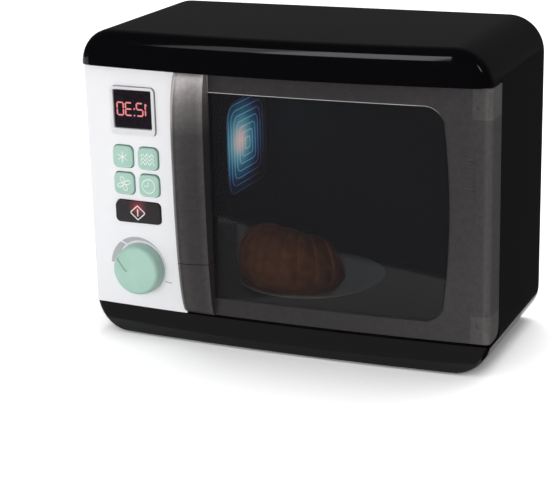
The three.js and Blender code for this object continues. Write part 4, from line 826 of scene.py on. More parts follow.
# %% [markdown]
# ## The keys
# Each key is a cap with a rounded rim, a flange that keeps it behind the panel and a stem that presses
# the rubber dome. The marks on the caps are thin raised lines in a paler mint. They are made as curves
# with a round section, half sunk in the cap, which gives a line of even width on any path.

# %% Key caps and their marks
CAP_OUT, CAP_ROUND, CAP_FLANGE, STEM_R, STEM_END = 2.0, 0.8, 1.3, 2.4, 10.4
MARK_R = 0.45


def cap(name):
    x, z, width, height, radius = CAPS[name]
    top = face(x) - CAP_OUT
    flange = face(x + math.copysign(width / 2, x)) + SKIN + GAP
    rings = []
    for k in range(5):
        a = math.pi / 8 * k
        inset, deep = CAP_ROUND * (1 - math.sin(a)), CAP_ROUND * (1 - math.cos(a))
        rings.append((rounded(x, z, width - 2 * inset, height - 2 * inset, radius - inset), top + deep))
    rings.append((rounded(x, z, width, height, radius), flange))
    body = lofted(name + "_cap", [[(u, y, v) for u, v in outline] for outline, y in rings])
    wide = rounded(x, z, width + 2 * CAP_FLANGE, height + 2 * CAP_FLANGE, radius)
    return plus(body, prism("flange", "y", wide, flange - 0.01, flange + 1.4),
                rod("stem", "y", x, z, STEM_R, flange + 1, STEM_END))


def line_marks(name, x, y, z, radius, *paths):
    """Raised lines along paths of (across, up) points round (x, z), open or closed."""
    curve = bpy.data.curves.new(name, "CURVE")
    curve.dimensions = "3D"
    curve.bevel_depth, curve.bevel_resolution, curve.use_fill_caps = radius / 1000, 3, True
    for path in paths:
        closed = (Vector(path[0]) - Vector(path[-1])).length < 0.01
        points = path[:-1] if closed else path
        spline = curve.splines.new("POLY")
        spline.points.add(len(points) - 1)
        spline.use_cyclic_u = closed
        for point, (across, up) in zip(spline.points, points):
            point.co = (*metres((x + across, y, z + up)), 1)
    source = placed(name, curve)
    mesh = bpy.data.meshes.new_from_object(source.evaluated_get(bpy.context.evaluated_depsgraph_get()))
    bpy.data.objects.remove(source)
    mesh.shade_smooth()
    return placed(name, mesh)


def turn(radius, start, stop, steps=32):
    """Points on a circle, from one angle to another in degrees."""
    return [(radius * math.cos(math.radians(start + (stop - start) * i / steps)),
             radius * math.sin(math.radians(start + (stop - start) * i / steps))) for i in range(steps + 1)]


rays = [[(0, 0), turn(4.0, a, a)[0]] for a in range(30, 390, 60)]
waves = [[(-5.2 + 10.4 * i / 36, rise - 1.0 * math.cos(2 * math.pi * i / 12)) for i in range(37)]
         for rise in (-2.8, 0.0, 2.8)]
petals = [[(5.1 * math.sin(2 * t) * math.cos(t - 0.44), 5.1 * math.sin(2 * t) * math.sin(t - 0.44))
           for t in (math.pi / 2 * (q + i / 20) for i in range(21))] for q in range(4)]
clock = [turn(4.9, 0, 360), [(0, 3.7), (0, 0), (-3.2, 0)]]
diamond = [(0, 5.0), (4.9, 0.8), (5.3, 0), (4.9, -0.8), (0, -5.0), (-4.9, -0.8), (-5.3, 0), (-4.9, 0.8),
           (0, 5.0)]
MARKS = {"star_button": rays, "waves_button": waves, "fan_button": petals, "clock_button": clock,
         "start_button": [diamond, [(0, 2.6), (0, -2.4)]]}
for name, paths in MARKS.items():
    x, z = CAPS[name][:2]
    plastic, ink, cap_slot, ink_slot = mint, mint_pale, "mint_plastic", "mint_plastic"
    if name == "start_button":
        plastic, ink, cap_slot, ink_slot = key_black, ink_white, "black_plastic", "white_plastic"
    ready(softened(cap(name), 0), name, plastic, cap_slot, name)
    marks = line_marks(name + "_marks", x, face(x) - CAP_OUT, z, MARK_R, *paths)
    ready(marks, name, ink, ink_slot)

# %% [markdown]
# ## The timer knob
# The knob is a turned form with a slight taper and a rounded rim. A profile of (radius, depth) pairs spun
# round the shaft gives it, and a slanted slot near the rim is the pointer. The shaft goes on through the
# panel to the switch.

# %% Knob
def turned(name, axis, u, v, profile, steps=96):
    """A body spun round an axis, from (radius, distance) pairs that start and end at the axis."""
    def put(radius, distance, a):
        p, q = u + radius * math.cos(a), v + radius * math.sin(a)
        return (p, q, distance) if axis == "z" else (p, distance, q)
    points, rings = [], []
    for radius, distance in profile:
        around = 1 if radius == 0 else steps
        rings.append(range(len(points), len(points) + around))
        points += [put(radius, distance, 2 * math.pi * i / steps) for i in range(around)]
    faces = []
    for near, far in zip(rings, rings[1:]):
        for i in range(steps):
            n = (i + 1) % steps
            corners = [near[i % len(near)], near[n % len(near)], far[n % len(far)], far[i % len(far)]]
            faces.append(tuple(dict.fromkeys(corners)))
    return body_of(name, points, faces)


KNOB_R, KNOB_FOOT_R, KNOB_ROUND, KNOB_FLAT_R, SHAFT_R, SHAFT_END = 17.6, 18.1, 3.0, 12, 3, 15.4
POINTER_OUT, POINTER_LONG, POINTER_WIDE, POINTER_DEEP = 10.2, 12.0, 4.0, 1.0
POINTER_SLOPE, POINTER_PLACE = -54, 155
KNOB_OUT, KNOB_GAP = 10.5, 0.5
knob_front, knob_back = face(CONTROL_X) - KNOB_OUT, face(CONTROL_X + KNOB_FOOT_R) - KNOB_GAP
rim = [(KNOB_R - KNOB_ROUND * (1 - math.sin(a)), knob_front + KNOB_ROUND * (1 - math.cos(a)))
       for a in (math.pi / 2 * k / 8 for k in range(9))]
knob = turned("timer_knob_moulding", "y", CONTROL_X, KNOB_Z, [
    (0, knob_front), (KNOB_FLAT_R, knob_front), *rim, (KNOB_FOOT_R, knob_back), (SHAFT_R, knob_back),
    (SHAFT_R, SHAFT_END), (0, SHAFT_END)])
slope, place = math.radians(POINTER_SLOPE), math.radians(POINTER_PLACE)
slot_x, slot_z = CONTROL_X + POINTER_OUT * math.cos(place), KNOB_Z + POINTER_OUT * math.sin(place)
pointer = [(slot_x + u * math.cos(slope) - v * math.sin(slope),
            slot_z + u * math.sin(slope) + v * math.cos(slope))
           for u, v in rounded(0, 0, POINTER_LONG, POINTER_WIDE, 1.95, 10)]
less(knob, prism("pointer", "y", pointer, knob_front - 3, knob_front + POINTER_DEEP))
softened(knob, 0.25, 40)
ready(knob, "knob", mint, "mint_plastic", "timer_knob")

# %% [markdown]
# ## Printing on the panel
# The dial's grey crescent and its tick are pad printed. Ink has almost no thickness, so each mark is a
# strip a few hundredths of a millimetre proud that follows the bow of the panel. The crescent is the
# room between two circles that aren't centred on each other, cut by two short gaps.

# %% Dial marks
INK = 0.05
CRESCENT_OUTER, CRESCENT_INNER = (-108.2, 50.6, 22.1), (CONTROL_X, KNOB_Z, 19.3)
CRESCENT_PIECES = ((2, 44.6), (46.8, 125), (128, 176))
TICK = [(-87.3, 42.9), (-81.9, 42.5)], [(-87.3, 42.2), (-81.9, 41.8)]


def printed(name, edge_a, edge_b):
    """A strip of ink between two lines of (x, z) points."""
    rings = []
    for (ax, az), (bx, bz) in zip(edge_a, edge_b):
        near, far = face(ax), face(bx)
        rings.append([(ax, near - INK, az), (bx, far - INK, bz), (bx, far + INK, bz), (ax, near + INK, az)])
    return lofted(name, rings)


def arc(x, z, radius, start, stop, steps=40):
    return [(x + u, z + v) for u, v in turn(radius, start, stop, steps)]


inks = [printed("crescent", arc(*CRESCENT_OUTER, a, b), arc(*CRESCENT_INNER, a, b))
        for a, b in CRESCENT_PIECES]
inks.append(printed("tick", *TICK))
ready(merged("dial_print", inks), "oven", ink_grey, "white_plastic")

# %% [markdown]
# ## The door
# The door is one sheet. From the right it wraps the corner, runs along the bowed face and then swells
# into the pull, whose free lip stands out over the panel's edge. At any height its plan is a line with a
# thickness, so one ring for each height gives the whole sheet. The window is cut out of it and filled
# with a polished pad that stands 1 mm proud, since the two have different finishes.

# %% Door sheet
DOOR_LEFT, DOOR_LOW, DOOR_TOP, PULL_RIGHT = -70.5, 23.4, 192.5, -48.5
DOOR_ROWS, PULL_COLUMNS, FACE_COLUMNS, CROWDING, LIP_ROUND = 64, 20, 40, 1.6, 1.5
PULL_OUT, PULL_STEP, FULLEST_Z, UP_REACH, DOWN_REACH, SQUARENESS = 13.8, 1.6, 140, 55, 116.5, 2.4
ROOT_SHARE = 0.62


def door_front(x, z):
    """The front of the pull. It stands furthest out at FULLEST_Z and at its free lip."""
    far = abs(z - FULLEST_Z) / (UP_REACH if z > FULLEST_Z else DOWN_REACH)
    along = max(0, 1 - far ** SQUARENESS) ** (1 / SQUARENESS)
    lip = min(1, (PULL_RIGHT - x) / (PULL_RIGHT - DOOR_LEFT))
    across = ROOT_SHARE + (1 - ROOT_SHARE) * math.sin(math.pi / 2 * lip)
    return face(x) - PULL_STEP - PULL_OUT * along * across


def door_ring(z):
    """The plan of the whole door at one height."""
    share = [(i / PULL_COLUMNS) ** CROWDING for i in range(PULL_COLUMNS + 1)]
    outer, inner = [], []
    for s in share:
        x = DOOR_LEFT + (PULL_RIGHT - DOOR_LEFT) * s
        near = max(0, 1 - (x - DOOR_LEFT) / LIP_ROUND)
        outer.append((x, door_front(x, z) + LIP_ROUND * (1 - math.sqrt(1 - near ** 2))))
        x = DOOR_LEFT + (PULL_RIGHT - SKIN - DOOR_LEFT) * s
        inner.append((x, door_front(x, z) + SKIN))
    outer.append((PULL_RIGHT, face(PULL_RIGHT)))
    inner.append((PULL_RIGHT - SKIN, face(PULL_RIGHT) + SKIN))
    for i in range(1, FACE_COLUMNS):
        x = PULL_RIGHT + (HALF - SKIN_CORNER - PULL_RIGHT) * i / FACE_COLUMNS
        outer.append((x, face(x)))
        inner.append((x, face(x) + SKIN))
    corner, inside = ([(-x, y) for x, y in skin_line(inset, WRAP, 0)[SKIN_STEPS + 1::-1]]
                      for inset in (0, SKIN))
    return [(x, y, z) for x, y in outer + corner + (inner + inside)[::-1]]


def window_outline():
    """Straight at the pull, bulged at the hinge, with two rounded corners."""
    side, low, high, r, bulged = 114.3, 36.0, 179.5, 13.0, 6.8
    lower = [(side - r + u, low + r + v) for u, v in turn(r, -90, 0, 12)]
    upper = [(side - r + u, high - r + v) for u, v in turn(r, 0, 90, 12)]
    middle = (low + high) / 2
    bulge = []
    for i in range(1, 16):
        t = i / 16
        bulge.append(((1 - t) ** 2 * side + 2 * t * (1 - t) * (side + bulged) + t ** 2 * side,
                      (1 - t) ** 2 * (low + r) + 2 * t * (1 - t) * middle + t ** 2 * (high - r)))
    return [(-47.9, low)] + lower + bulge + upper + [(-47.9, high)]


door = within(lofted("door_moulding", [door_ring(DOOR_LOW + (DOOR_TOP - DOOR_LOW) * k / DOOR_ROWS)
                                       for k in range(DOOR_ROWS + 1)]),
              inset_block("limit", 0, -40, HOUSING_BACK))
FOOT_R, WINDOW_CUT = 8, (-10, 12)
foot_cut = [(WRAP - FOOT_R, 18)]
foot_cut += [(WRAP - FOOT_R + u, DOOR_LOW + FOOT_R + v) for u, v in turn(FOOT_R, -90, 0, 10)]
foot_cut += [(WRAP + OVERRUN, DOOR_LOW + FOOT_R), (WRAP + OVERRUN, 18)]
less(door, prism("foot_cut", "x", foot_cut, HALF - SKIN_CORNER, HALF + OVERRUN),
     prism("window_hole", "y", window_outline(), *WINDOW_CUT))
HINGES, BLOCK_X, KNUCKLE_R, PIN_HOLE_R, PIN_DEEP = ((DOOR_LOW, 42.0), (172.0, DOOR_TOP)), 132.2, 3.9, 1.58, 12
HALF_SKIN, BLOCK_BACK = SKIN / 2, 17
inner = HALF - HALF_SKIN
block = [(BLOCK_X, face(BLOCK_X) + HALF_SKIN), (inner - SKIN_CORNER / 2, face(inner) + HALF_SKIN),
         (inner, face(inner) + SKIN_CORNER), (inner, BLOCK_BACK), (BLOCK_X, BLOCK_BACK)]
for low, high in HINGES:
    plus(door, prism("hinge_block", "z", block, low, high),
         rod("knuckle", "z", HINGE_X, HINGE_Y, KNUCKLE_R, low, high))
    pin = (low - OVERRUN, low + PIN_DEEP) if low == DOOR_LOW else (high - PIN_DEEP, high + OVERRUN)
    less(door, rod("pin_hole", "z", HINGE_X, HINGE_Y, PIN_HOLE_R, *pin))
DIMPLES, DIMPLE_R, DIMPLE_DEEP = ((137.0, 180.4), (137.8, 35.8)), 2, 0.5
for x, z in DIMPLES:
    less(door, rod("dimple", "y", x, z, DIMPLE_R, 0, face(x) + DIMPLE_DEEP))
TONGUE_X, TONGUE_Z, TONGUE_END = (-65.0, -63.0), (43.0, 51.0), 9.5
root = door_front(sum(TONGUE_X) / 2, sum(TONGUE_Z) / 2) + HALF_SKIN
plus(door, slab("tongue", *TONGUE_X, root, TONGUE_END, *TONGUE_Z))
softened(door, 0.45)
ready(door, "door", smoke, "smoke_plastic", "door")

PAD_OUT, PANE_LEFT, PANE_LONG, PANE_STEPS = 1.0, -60, 190, 60
pane_xs = [PANE_LEFT + PANE_LONG * i / PANE_STEPS for i in range(PANE_STEPS + 1)]
pane_plan = [(x, face(x) - PAD_OUT) for x in pane_xs] + [(x, face(x) + SKIN) for x in reversed(pane_xs)]
pane = within(prism("door_window_pad", "y", window_outline(), *WINDOW_CUT),
              prism("pane_plan", "z", pane_plan, 0, TOP))
softened(pane, 0.7, 35, 3)
ready(pane, "door", clear, "smoke_plastic")

# %% [markdown]
# ## Geometry Nodes for what repeats
# Ridges, ribs and screw heads repeat by a rule, so a node tree makes them: a line of points carries
# instances, and named inputs hold the sizes. The tree ends in Realize Instances and Set Material. A
# second helper puts a tree on a piece, fills its inputs by identifier and bakes the result.

# %% Node tree helpers
def new_tree(name, **inputs):
    """A geometry tree with named inputs. Returns the tree, its input node and the identifiers."""
    tree = bpy.data.node_groups.new(name, "GeometryNodeTree")
    tree.interface.new_socket("Geometry", in_out="INPUT", socket_type="NodeSocketGeometry")
    ids = {}
    for label, kind in inputs.items():
        made = tree.interface.new_socket(label, in_out="INPUT", socket_type="NodeSocket" + kind)
        ids[label] = made.identifier
    tree.interface.new_socket("Geometry", in_out="OUTPUT", socket_type="NodeSocketGeometry")
    return tree, add(tree, "NodeGroupInput").outputs, ids


def ended(tree, geometry, material, joined_to=None):
    """Realizes the instances and sets their material. What the tree began with can be joined to them."""
    real = add(tree, "GeometryNodeRealizeInstances", {"Geometry": geometry})
    finish = add(tree, "GeometryNodeSetMaterial", {"Geometry": real, "Material": material})
    if joined_to is not None:
        both = add(tree, "GeometryNodeJoinGeometry", {"Geometry": finish})
        fill(tree, both, {"Geometry": joined_to})
        finish = both
    add(tree, "NodeGroupOutput", {"Geometry": finish})


def grown(piece, tree, ids, **values):
    """Runs a tree on a piece with the given input values, and bakes it."""
    grow = piece.modifiers.new(tree.name, "NODES")
    grow.node_group = tree
    for label, value in values.items():
        grow[ids[label]] = value
    return settled(piece)


print("node tree helpers are ready")

# %% [markdown]
# ## The light lens
# The lens is a frosted plate in the left wall with rounded square ridges, one inside the next. A unit
# square with rounded corners is instanced on as many points as there are ridges, each smaller by twice
# the pitch, and a small round section is run along all of them. The plate and the ridges keep two
# finishes in one piece: the plate's is set on its mesh, and the tree sets the ridges'.

# %% Light lens
tree, given, ids = new_tree("lens_ridges", Ridges="Int", Size="Float", Pitch="Float", Thickness="Float")
line = add(tree, "GeometryNodeMeshLine", {"Count": given["Ridges"], "Offset": (0, 0, 0)})
index = add(tree, "GeometryNodeInputIndex")
step = add(tree, "ShaderNodeMath", {0: index, 1: given["Pitch"]}, operation="MULTIPLY")
size = add(tree, "ShaderNodeMath", {0: step, 1: -2.0, 2: given["Size"]}, operation="MULTIPLY_ADD")
square = add(tree, "GeometryNodeCurvePrimitiveQuadrilateral", {"Width": 1.0, "Height": 1.0})
corner = add(tree, "GeometryNodeFilletCurve", {"Curve": square, "Count": 10, "Radius": 0.14}, mode="POLY")
spread = add(tree, "GeometryNodeInstanceOnPoints", {
    "Points": line, "Instance": corner, "Scale": size})
section = add(tree, "GeometryNodeCurvePrimitiveCircle", {"Resolution": 10, "Radius": given["Thickness"]})
loose = add(tree, "GeometryNodeRealizeInstances", {"Geometry": spread})
ridges = add(tree, "GeometryNodeCurveToMesh", {"Curve": loose, "Profile Curve": section})
LENS_FRONT, LENS_BACK, FLANGE_SIZE, FLANGE_THICK = -57.0, -60.6, 74, 1.5
stood = add(tree, "GeometryNodeTransform", {
    "Geometry": ridges, "Rotation": (0, math.pi / 2, 0),
    "Translation": metres((LENS_FRONT, LENS_Y, LENS_Z))})
smooth = add(tree, "GeometryNodeSetShadeSmooth", {"Geometry": stood})
ended(tree, smooth, lens_ridge, given["Geometry"])
lens = prism("light_lens_plate", "x", rounded(LENS_Y, LENS_Z, LENS_SIZE, LENS_SIZE, LENS_CORNER),
             LENS_BACK, LENS_FRONT)
plus(lens, prism("flange", "x", rounded(LENS_Y, LENS_Z, FLANGE_SIZE, FLANGE_SIZE, LENS_CORNER + 3),
                 LENS_BACK, LENS_BACK + FLANGE_THICK))
softened(lens, 0.3)
lens.data.materials.clear()
lens.data.materials.append(lens_plate)
grown(lens, tree, ids, Ridges=7, Size=0.0632, Pitch=0.0046, Thickness=0.00038)
ready(lens, "oven", None, "lens_plastic", "light_lens")

# %% [markdown]
# ## Ribs on the door's border
# Fine ribs stiffen the door where it bends round the corner, at both hinges, and a column of short ones
# runs down the border. Each rib is an arc with a round section, and they stand one above the other at
# an even pitch. The straight ones are arcs too, with a very large radius.

# %% Border ribs
tree, given, ids = new_tree("border_ribs", Ribs="Int", Pitch="Float", Bend="Float", Begin="Float",
                            Sweep="Float", Thickness="Float", Place="Vector")
pitch = add(tree, "ShaderNodeCombineXYZ", {"Z": given["Pitch"]})
line = add(tree, "GeometryNodeMeshLine", {"Count": given["Ribs"], "Offset": pitch})
bend = add(tree, "GeometryNodeCurveArc", {
    "Resolution": 12, "Radius": given["Bend"], "Start Angle": given["Begin"], "Sweep Angle": given["Sweep"]})
spread = add(tree, "GeometryNodeInstanceOnPoints", {"Points": line, "Instance": bend})
loose = add(tree, "GeometryNodeRealizeInstances", {"Geometry": spread})
section = add(tree, "GeometryNodeCurvePrimitiveCircle", {"Resolution": 8, "Radius": given["Thickness"]})
ribs = add(tree, "GeometryNodeCurveToMesh", {
    "Curve": loose, "Profile Curve": section, "Fill Caps": True})
put = add(tree, "GeometryNodeTransform", {"Geometry": ribs, "Translation": given["Place"]})
smooth = add(tree, "GeometryNodeSetShadeSmooth", {"Geometry": put})
ended(tree, smooth, smoke)
RIB_THICK, MIDDLE_X, MIDDLE_BEND = 0.5, 131.3, 80.0
bend_x = HALF - SKIN_CORNER
bend_y = face(bend_x) + SKIN_CORNER
for label, count, pitch_mm, bend_mm, begin, sweep, place in (
        ("upper", 11, 1.5, 3.3, -88, 48, (bend_x, bend_y, 174.0)),
        ("lower", 10, 1.4, 3.3, -88, 48, (bend_x, bend_y, 31.5)),
        ("middle", 13, 2.4, MIDDLE_BEND, -91.7, 3.4, (MIDDLE_X, face(MIDDLE_X) + MIDDLE_BEND, 120.4))):
    ribs = body_of(f"door_{label}_ribs", [(0, 0, 0)], [])
    grown(ribs, tree, ids, Ribs=count, Pitch=pitch_mm / 1000, Bend=bend_mm / 1000, Begin=math.radians(begin),
          Sweep=math.radians(sweep), Thickness=RIB_THICK / 1000, Place=metres(place))
    ready(ribs, "door", smoke, "smoke_plastic")

# %% [markdown]
# ## Screws
# The housing screws sit deep in their wells and the cover has one more. A screw is a short cylinder with
# a cross cut into it, and a thinner one below. The tree makes one and stands it on every point of the
# mesh that it is given.

# %% Screws
tree, given, ids = new_tree("cross_head_screws", Radius="Float", Height="Float", Recess="Float",
                            Shank="Float", Length="Float")
head = add(tree, "GeometryNodeMeshCylinder", {
    "Vertices": 32, "Radius": given["Radius"], "Depth": given["Height"]})
half_up = add(tree, "ShaderNodeMath", {0: given["Height"], 1: 0.5}, operation="MULTIPLY")
arm = add(tree, "ShaderNodeMath", {0: given["Radius"], 1: 1.2}, operation="MULTIPLY")
raised = add(tree, "ShaderNodeCombineXYZ", {"Z": half_up})
cross = add(tree, "GeometryNodeMeshBoolean", {"Mesh 1": head}, operation="DIFFERENCE", solver="EXACT")
for a, b in (("X", "Y"), ("Y", "X")):
    sides = add(tree, "ShaderNodeCombineXYZ", {a: arm, b: given["Recess"], "Z": given["Height"]})
    bar = add(tree, "GeometryNodeMeshCube", {"Size": sides})
    cutter = add(tree, "GeometryNodeTransform", {"Geometry": bar, "Translation": raised})
    fill(tree, cross, {"Mesh 2": cutter})
seated = add(tree, "GeometryNodeTransform", {"Geometry": cross, "Translation": raised})
shank = add(tree, "GeometryNodeMeshCylinder", {
    "Vertices": 20, "Radius": given["Shank"], "Depth": given["Length"]})
below = add(tree, "ShaderNodeMath", {0: given["Length"], 1: -0.495}, operation="MULTIPLY")
down = add(tree, "ShaderNodeCombineXYZ", {"Z": below})
hung = add(tree, "GeometryNodeTransform", {"Geometry": shank, "Translation": down})
whole = add(tree, "GeometryNodeJoinGeometry", {"Geometry": seated})
fill(tree, whole, {"Geometry": hung})
laid = add(tree, "GeometryNodeTransform", {"Geometry": whole, "Rotation": (-math.pi / 2, 0.4, 0)})
spread = add(tree, "GeometryNodeInstanceOnPoints", {"Points": given["Geometry"], "Instance": laid})
ended(tree, spread, steel)
seat = HOUSING_BACK - WELL + GAP
heads = body_of("housing_screws", [(x, seat, z) for x, z in BOSSES], [])
grown(heads, tree, ids, Radius=0.0032, Height=0.0024, Recess=0.0009, Shank=0.0015, Length=0.0251)
ready(heads, "oven", steel, "steel", *(f"housing_screw_{i}" for i in range(1, 5)))
low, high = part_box("battery_cover_screw")
one = body_of("cover_screw", [(CONTROL_X, HOUSING_BACK - 0.95, 500 * (low.z + high.z))], [])
grown(one, tree, ids, Radius=0.0034, Height=0.0008, Recess=0.0009, Shank=0.0013, Length=0.0072)
ready(one, "oven", steel, "steel", "battery_cover_screw")

# %% [markdown]
# ## The plate
# The toy's plate is one thin white moulding with a flat middle and a shallow rim. It is turned from a
# profile, like the knob, about an upright axis.

# %% Plate
PLATE_X, PLATE_Y, PLATE_LOW = -3.0, 64.0, 34.3
PLATE_PROFILE = ((0, 0), (43, 0), (46, 0.7), (51.2, 2.9), (52, 3.4), (52, 3.9), (51.5, 4.1), (46, 2.6),
                 (43, 1.8), (0, 1.8))
plate = turned("plate_moulding", "z", PLATE_X, PLATE_Y, [(r, PLATE_LOW + up) for r, up in PLATE_PROFILE])
softened(plate, 0)
ready(plate, "plate", plate_white, "plate_plastic", "plate")

# %% [markdown]
# ## The croissant
# The croissant is a crescent: sections follow an arc, thick in the middle and flat where they lie, and
# each turn of the dough overlaps the last with a small step. The step is a saw-tooth on the section's
# radius, and two slow waves keep the turns from looking machined.

# %% Croissant
TURNS, STATIONS, SIDES = 7, 140, 48
CROISSANT = (PLATE_X - 4, PLATE_Y - 6, PLATE_LOW + 2.1)
CRESCENT_R, CRESCENT_MIDDLE, CRESCENT_HALF = 25, -110, 102.5
DOUGH_THIN, DOUGH_SWELL, DOUGH_FULL, DOUGH_STEP = 13, 9, 1.035, 0.075


def dough_radius(share):
    """The section's radius along the crescent, from -1 to 1, with a step at each turn of the dough."""
    swell = DOUGH_THIN + DOUGH_SWELL * math.sqrt(max(0, math.cos(share * math.pi / 2)))
    ends = min(1, 3.2 * (1 - abs(share)) + 0.35) ** 0.5
    phase = (abs(share) * (TURNS - 0.5) + 0.5) % 1
    return swell * ends * (DOUGH_FULL - DOUGH_STEP * phase ** 2.5)


def dough_ring(k):
    """One section of the crescent."""
    share = 2 * k / STATIONS - 1
    radius, angle = dough_radius(share), math.radians(CRESCENT_MIDDLE + share * CRESCENT_HALF)
    middle, ring = CROISSANT[2] + 0.9 * radius, []
    for j in range(SIDES):
        a = 2 * math.pi * j / SIDES
        lump = 1 + 0.018 * math.sin(3 * a + 9 * share) + 0.012 * math.sin(7 * a - 17 * share)
        out = CRESCENT_R + radius * lump * math.cos(a)
        z = max(CROISSANT[2], middle + radius * lump * math.sin(a))
        ring.append((CROISSANT[0] + out * math.cos(angle), CROISSANT[1] + out * math.sin(angle), z))
    return ring


croissant = lofted("croissant_moulding", [dough_ring(k) for k in range(STATIONS + 1)])
softened(croissant, 0, 60)
ready(croissant, "croissant", dough, "dough_plastic", "croissant")

# %% [markdown]
# ## Small solids that keep their shape
# The feet and the battery cover are right as solids, but their edges are sharp. A copy of the solid has
# its loose triangles merged, its flat faces made whole again and its edges rounded. What never shows from
# outside keeps its solid and only gets the finish of what it is made of.

# %% Refined copies and the parts inside
def refined(node, width, body, material, slot):
    """A copy of a solid, with whole faces and rounded edges."""
    mesh = frame["nodes"][node].data.copy()
    form = bmesh.new()
    form.from_mesh(mesh)
    bmesh.ops.remove_doubles(form, verts=form.verts, dist=1e-5)
    bmesh.ops.dissolve_limit(form, angle_limit=math.radians(2), verts=form.verts, edges=form.edges)
    form.to_mesh(mesh)
    form.free()
    return ready(softened(placed(node + "_moulding", mesh), width, 40), body, material, slot, node)


refined("battery_cover", 0.5, "oven", black, "black_plastic")
for i in range(1, 5):
    refined(f"foot_{i}", 0.5, "oven", rubber, "rubber")
finishes = {
    "black_plastic": black, "white_plastic": white, "mint_plastic": mint, "silver_plastic": silver,
    "dark_window": screen, "smoke_plastic": smoke, "liner_plastic": matt_black, "lens_plastic": lens_plate,
    "rubber": rubber, "circuit_board": board_green, "component": component, "steel": steel,
    "cell": cell_wrap, "plate_plastic": plate_white, "dough_plastic": dough, "wire": wire_red}
for part in frame["record"]["subparts"]:
    mesh = frame["nodes"][part["node"]].data
    mesh.materials.clear()
    mesh.materials.append(finishes[part["material_slot"]])

# %% [markdown]
# ## Floor, cards and lamps
# A near-white floor takes the oven's shadow. It looks white to the camera and a little darker to the
# light that bounces off it. Black plastic is lit by what it mirrors, so a studio surrounds it with dark
# cloth and opens that for a soft box where a highlight is wanted. All the cards here form such a tent,
# and only reflections see them. The paler cards on the floor are what the band and the window mirror.

# %% Stage
def stage_plane(name, material, corners):
    """A flat card of any number of corners that isn't part of the oven."""
    mesh = bpy.data.meshes.new(name)
    mesh.from_pydata(corners, [], [tuple(range(len(corners)))])
    mesh.materials.append(material)
    plane = placed(name, mesh)
    plane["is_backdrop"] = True
    return plane


def reflected_only(card):
    card.visible_camera = card.visible_diffuse = card.visible_shadow = card.visible_transmission = False
    return card


def lit(name, strength):
    """A plain emission, for a card or a soft box."""
    material = bpy.data.materials.new(name)
    material.use_nodes = True
    tree = material.node_tree
    tree.nodes.clear()
    glow = add(tree, "ShaderNodeEmission", {"Color": (1, 1, 1, 1), "Strength": strength})
    add(tree, "ShaderNodeOutputMaterial", {"Surface": glow})
    return material


paper = bpy.data.materials.new("paper_white_seamless")
paper.use_nodes = True
tree = paper.node_tree
tree.nodes.clear()
path = add(tree, "ShaderNodeLightPath")
gain = add(tree, "ShaderNodeMapRange", {
    "Value": path.outputs["Is Camera Ray"], "To Min": 0.9, "To Max": 1.75})
tint = add(tree, "ShaderNodeCombineXYZ", {"X": gain, "Y": gain, "Z": gain})
sheet = add(tree, "ShaderNodeBsdfDiffuse", {"Color": tint})
add(tree, "ShaderNodeOutputMaterial", {"Surface": sheet})
stage_plane("floor", paper, [(-9, -9, 0), (9, -9, 0), (9, 9, 0), (-9, 9, 0)])
cloth_grey, cloth_side = lit("cloth_grey", 0.05), lit("cloth_side", 0.03)
cloth_dark, skirt = lit("cloth_dark", 0.02), lit("card_pale", 0.25)
box_white, box_pale = lit("softbox", 2.5), lit("softbox_edge", 1.0)
FLOOR_Z, ROOF_Z, SIDE, BEHIND, AHEAD = 0.001, 3.0, 3, 1.6, -2.6
BOX_Y, BOX_LOW, BOX_HIGH = -2.0, 0.84, 2.6


def upright_x(y, x0, x1, z0, z1):
    """The corners of a standing card that faces along y."""
    return [(x0, y, z0), (x1, y, z0), (x1, y, z1), (x0, y, z1)]


def upright_y(x, z0, z1):
    return [(x, -SIDE, z0), (x, SIDE, z0), (x, SIDE, z1), (x, -SIDE, z1)]


def level(x0, x1, y0, y1, z):
    return [(x0, y0, z), (x1, y0, z), (x1, y1, z), (x0, y1, z)]


cards = {
    "card_behind": (cloth_grey, upright_x(BEHIND, -SIDE, SIDE, FLOOR_Z, ROOF_Z)),
    "card_skirt": (skirt, level(-SIDE, SIDE, -0.145, -0.073, FLOOR_Z)),
    "card_ahead": (cloth_dark, [(-SIDE, -1.313, FLOOR_Z), (0.16, -0.2162, FLOOR_Z), (SIDE, -0.2162, FLOOR_Z),
                                (SIDE, AHEAD, FLOOR_Z), (-SIDE, AHEAD, FLOOR_Z)]),
    "card_front": (cloth_dark, upright_x(AHEAD, -SIDE, SIDE, FLOOR_Z, ROOF_Z)),
    "card_low_left": (skirt, [metres((x, y, 1.4)) for x, y in (
        (-64, -98), (-99, -86), (-230, -250), (-165, -268), (-118, -177), (-83, -117))]),
    "card_low": (cloth_dark, [metres((x, y, 1.5)) for x, y in (
        (-65, -99), (-83, -117), (-118, -177), (-138, -219), (-149, -266), (-145, -290), (-91, -268),
        (-56, -247), (-24, -210), (-8, -168), (-7, -124), (-40, -115))]),
    "card_right": (cloth_side, level(0.1465, SIDE, -SIDE, SIDE, FLOOR_Z)),
    "card_side": (cloth_dark, upright_y(SIDE, FLOOR_Z, ROOF_Z)),
    "card_left": (cloth_dark, upright_y(-SIDE, FLOOR_Z, ROOF_Z)),
    "card_roof": (cloth_dark, level(-SIDE, SIDE, -SIDE, SIDE, ROOF_Z)),
    "softbox_front": (box_white, upright_x(BOX_Y, -0.95, -0.1, BOX_LOW, BOX_HIGH)),
    "softbox_edge": (box_pale, upright_x(BOX_Y, -1.6, -0.95, BOX_LOW, BOX_HIGH)),
    "softbox_right": (box_white, [(2.0, -0.75, 1.1), (2.0, -0.5, 1.0), (2.0, -0.5, 1.6), (2.0, -0.75, 1.8)]),
}
for name, (material, corners) in cards.items():
    reflected_only(stage_plane(name, material, corners))

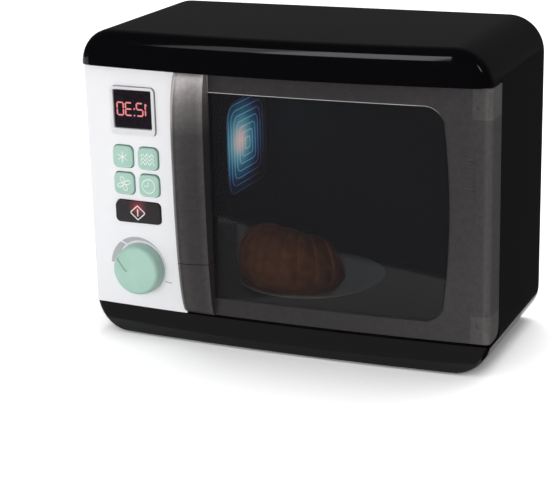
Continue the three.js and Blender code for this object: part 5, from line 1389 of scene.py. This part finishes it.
world = bpy.data.worlds.new("studio")
bpy.context.scene.world = world
world.use_nodes = True
tree = world.node_tree
tree.nodes.clear()
path = add(tree, "ShaderNodeLightPath")
seen = path.outputs["Is Camera Ray"]
for kind in ("Is Glossy Ray", "Is Transmission Ray"):
    seen = add(tree, "ShaderNodeMath", {0: seen, 1: path.outputs[kind]}, operation="MAXIMUM")
soft = add(tree, "ShaderNodeBackground", {"Color": (1, 1, 1, 1), "Strength": 0.5})
bright = add(tree, "ShaderNodeBackground", {"Color": (1, 1, 1, 1), "Strength": 1.0})
mix = add(tree, "ShaderNodeMixShader", {0: seen, 1: soft, 2: bright})
add(tree, "ShaderNodeOutputWorld", {"Surface": mix})


def lamp(name, watts, size, place):
    """A square lamp that looks at the oven and isn't mirrored in it."""
    data = bpy.data.lights.new(name, "AREA")
    data.energy, data.size = watts, size
    light = placed(name, data)
    light.location = place
    light.rotation_euler = (Vector(LAMP_AIM) - Vector(place)).to_track_quat("-Z", "Y").to_euler()
    light.visible_glossy = False


LAMP_AIM = (0, 0, 0.1)
lamp("key_above_behind", 16, 1.6, (0.1, 0.7, 1.9))
lamp("fill_left", 4, 1.4, (-1.7, -1.3, 1.0))
lamp("fill_front", 22, 1.2, (-0.3, -1.8, 0.15))
print("stage is set")

# %% [markdown]
# ## The camera
# The photograph's view was solved from the corners of the housing: 23.8 degrees to the right, 17.5
# degrees above, a slight tilt, and a lens of 109 mm on a 36 mm sensor. The camera stands about 1.15 m
# from the middle of the oven. Its three directions are worked out from the angles and set as a matrix.

# %% Camera
azimuth, elevation, roll = (math.radians(a) for a in (23.816, 17.499, -1.539))
aside = Vector((math.cos(azimuth), math.sin(azimuth), 0))
away = Vector((math.sin(azimuth), -math.cos(azimuth), 0))
back = away * math.cos(elevation) + Vector((0, 0, math.sin(elevation)))
upright = back.cross(aside)
right = aside * math.cos(roll) + upright * math.sin(roll)
above = upright * math.cos(roll) - aside * math.sin(roll)
camera = placed("camera", bpy.data.cameras.new("camera"))
turned_by = Matrix((right, above, back)).transposed().to_4x4()
camera.matrix_world = Matrix.Translation((0.42630, -1.02908, 0.41073)) @ turned_by
camera.data.lens = 109.003
camera.data.sensor_width = 36
bpy.context.scene.camera = camera
bpy.context.scene.view_settings.view_transform = "Standard"
print("camera:", [round(1000 * v) for v in camera.location], "mm, lens", round(camera.data.lens), "mm")

# %% [markdown]
# ## Sizes and the end
# The box round the finished pieces is measured and printed. The finer meshes are drawn to the same outer
# sizes as the solids that they stand for.

# %% Sizes and the end
low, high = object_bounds()
print("visual box", [round(1000 * v, 1) for v in high - low])
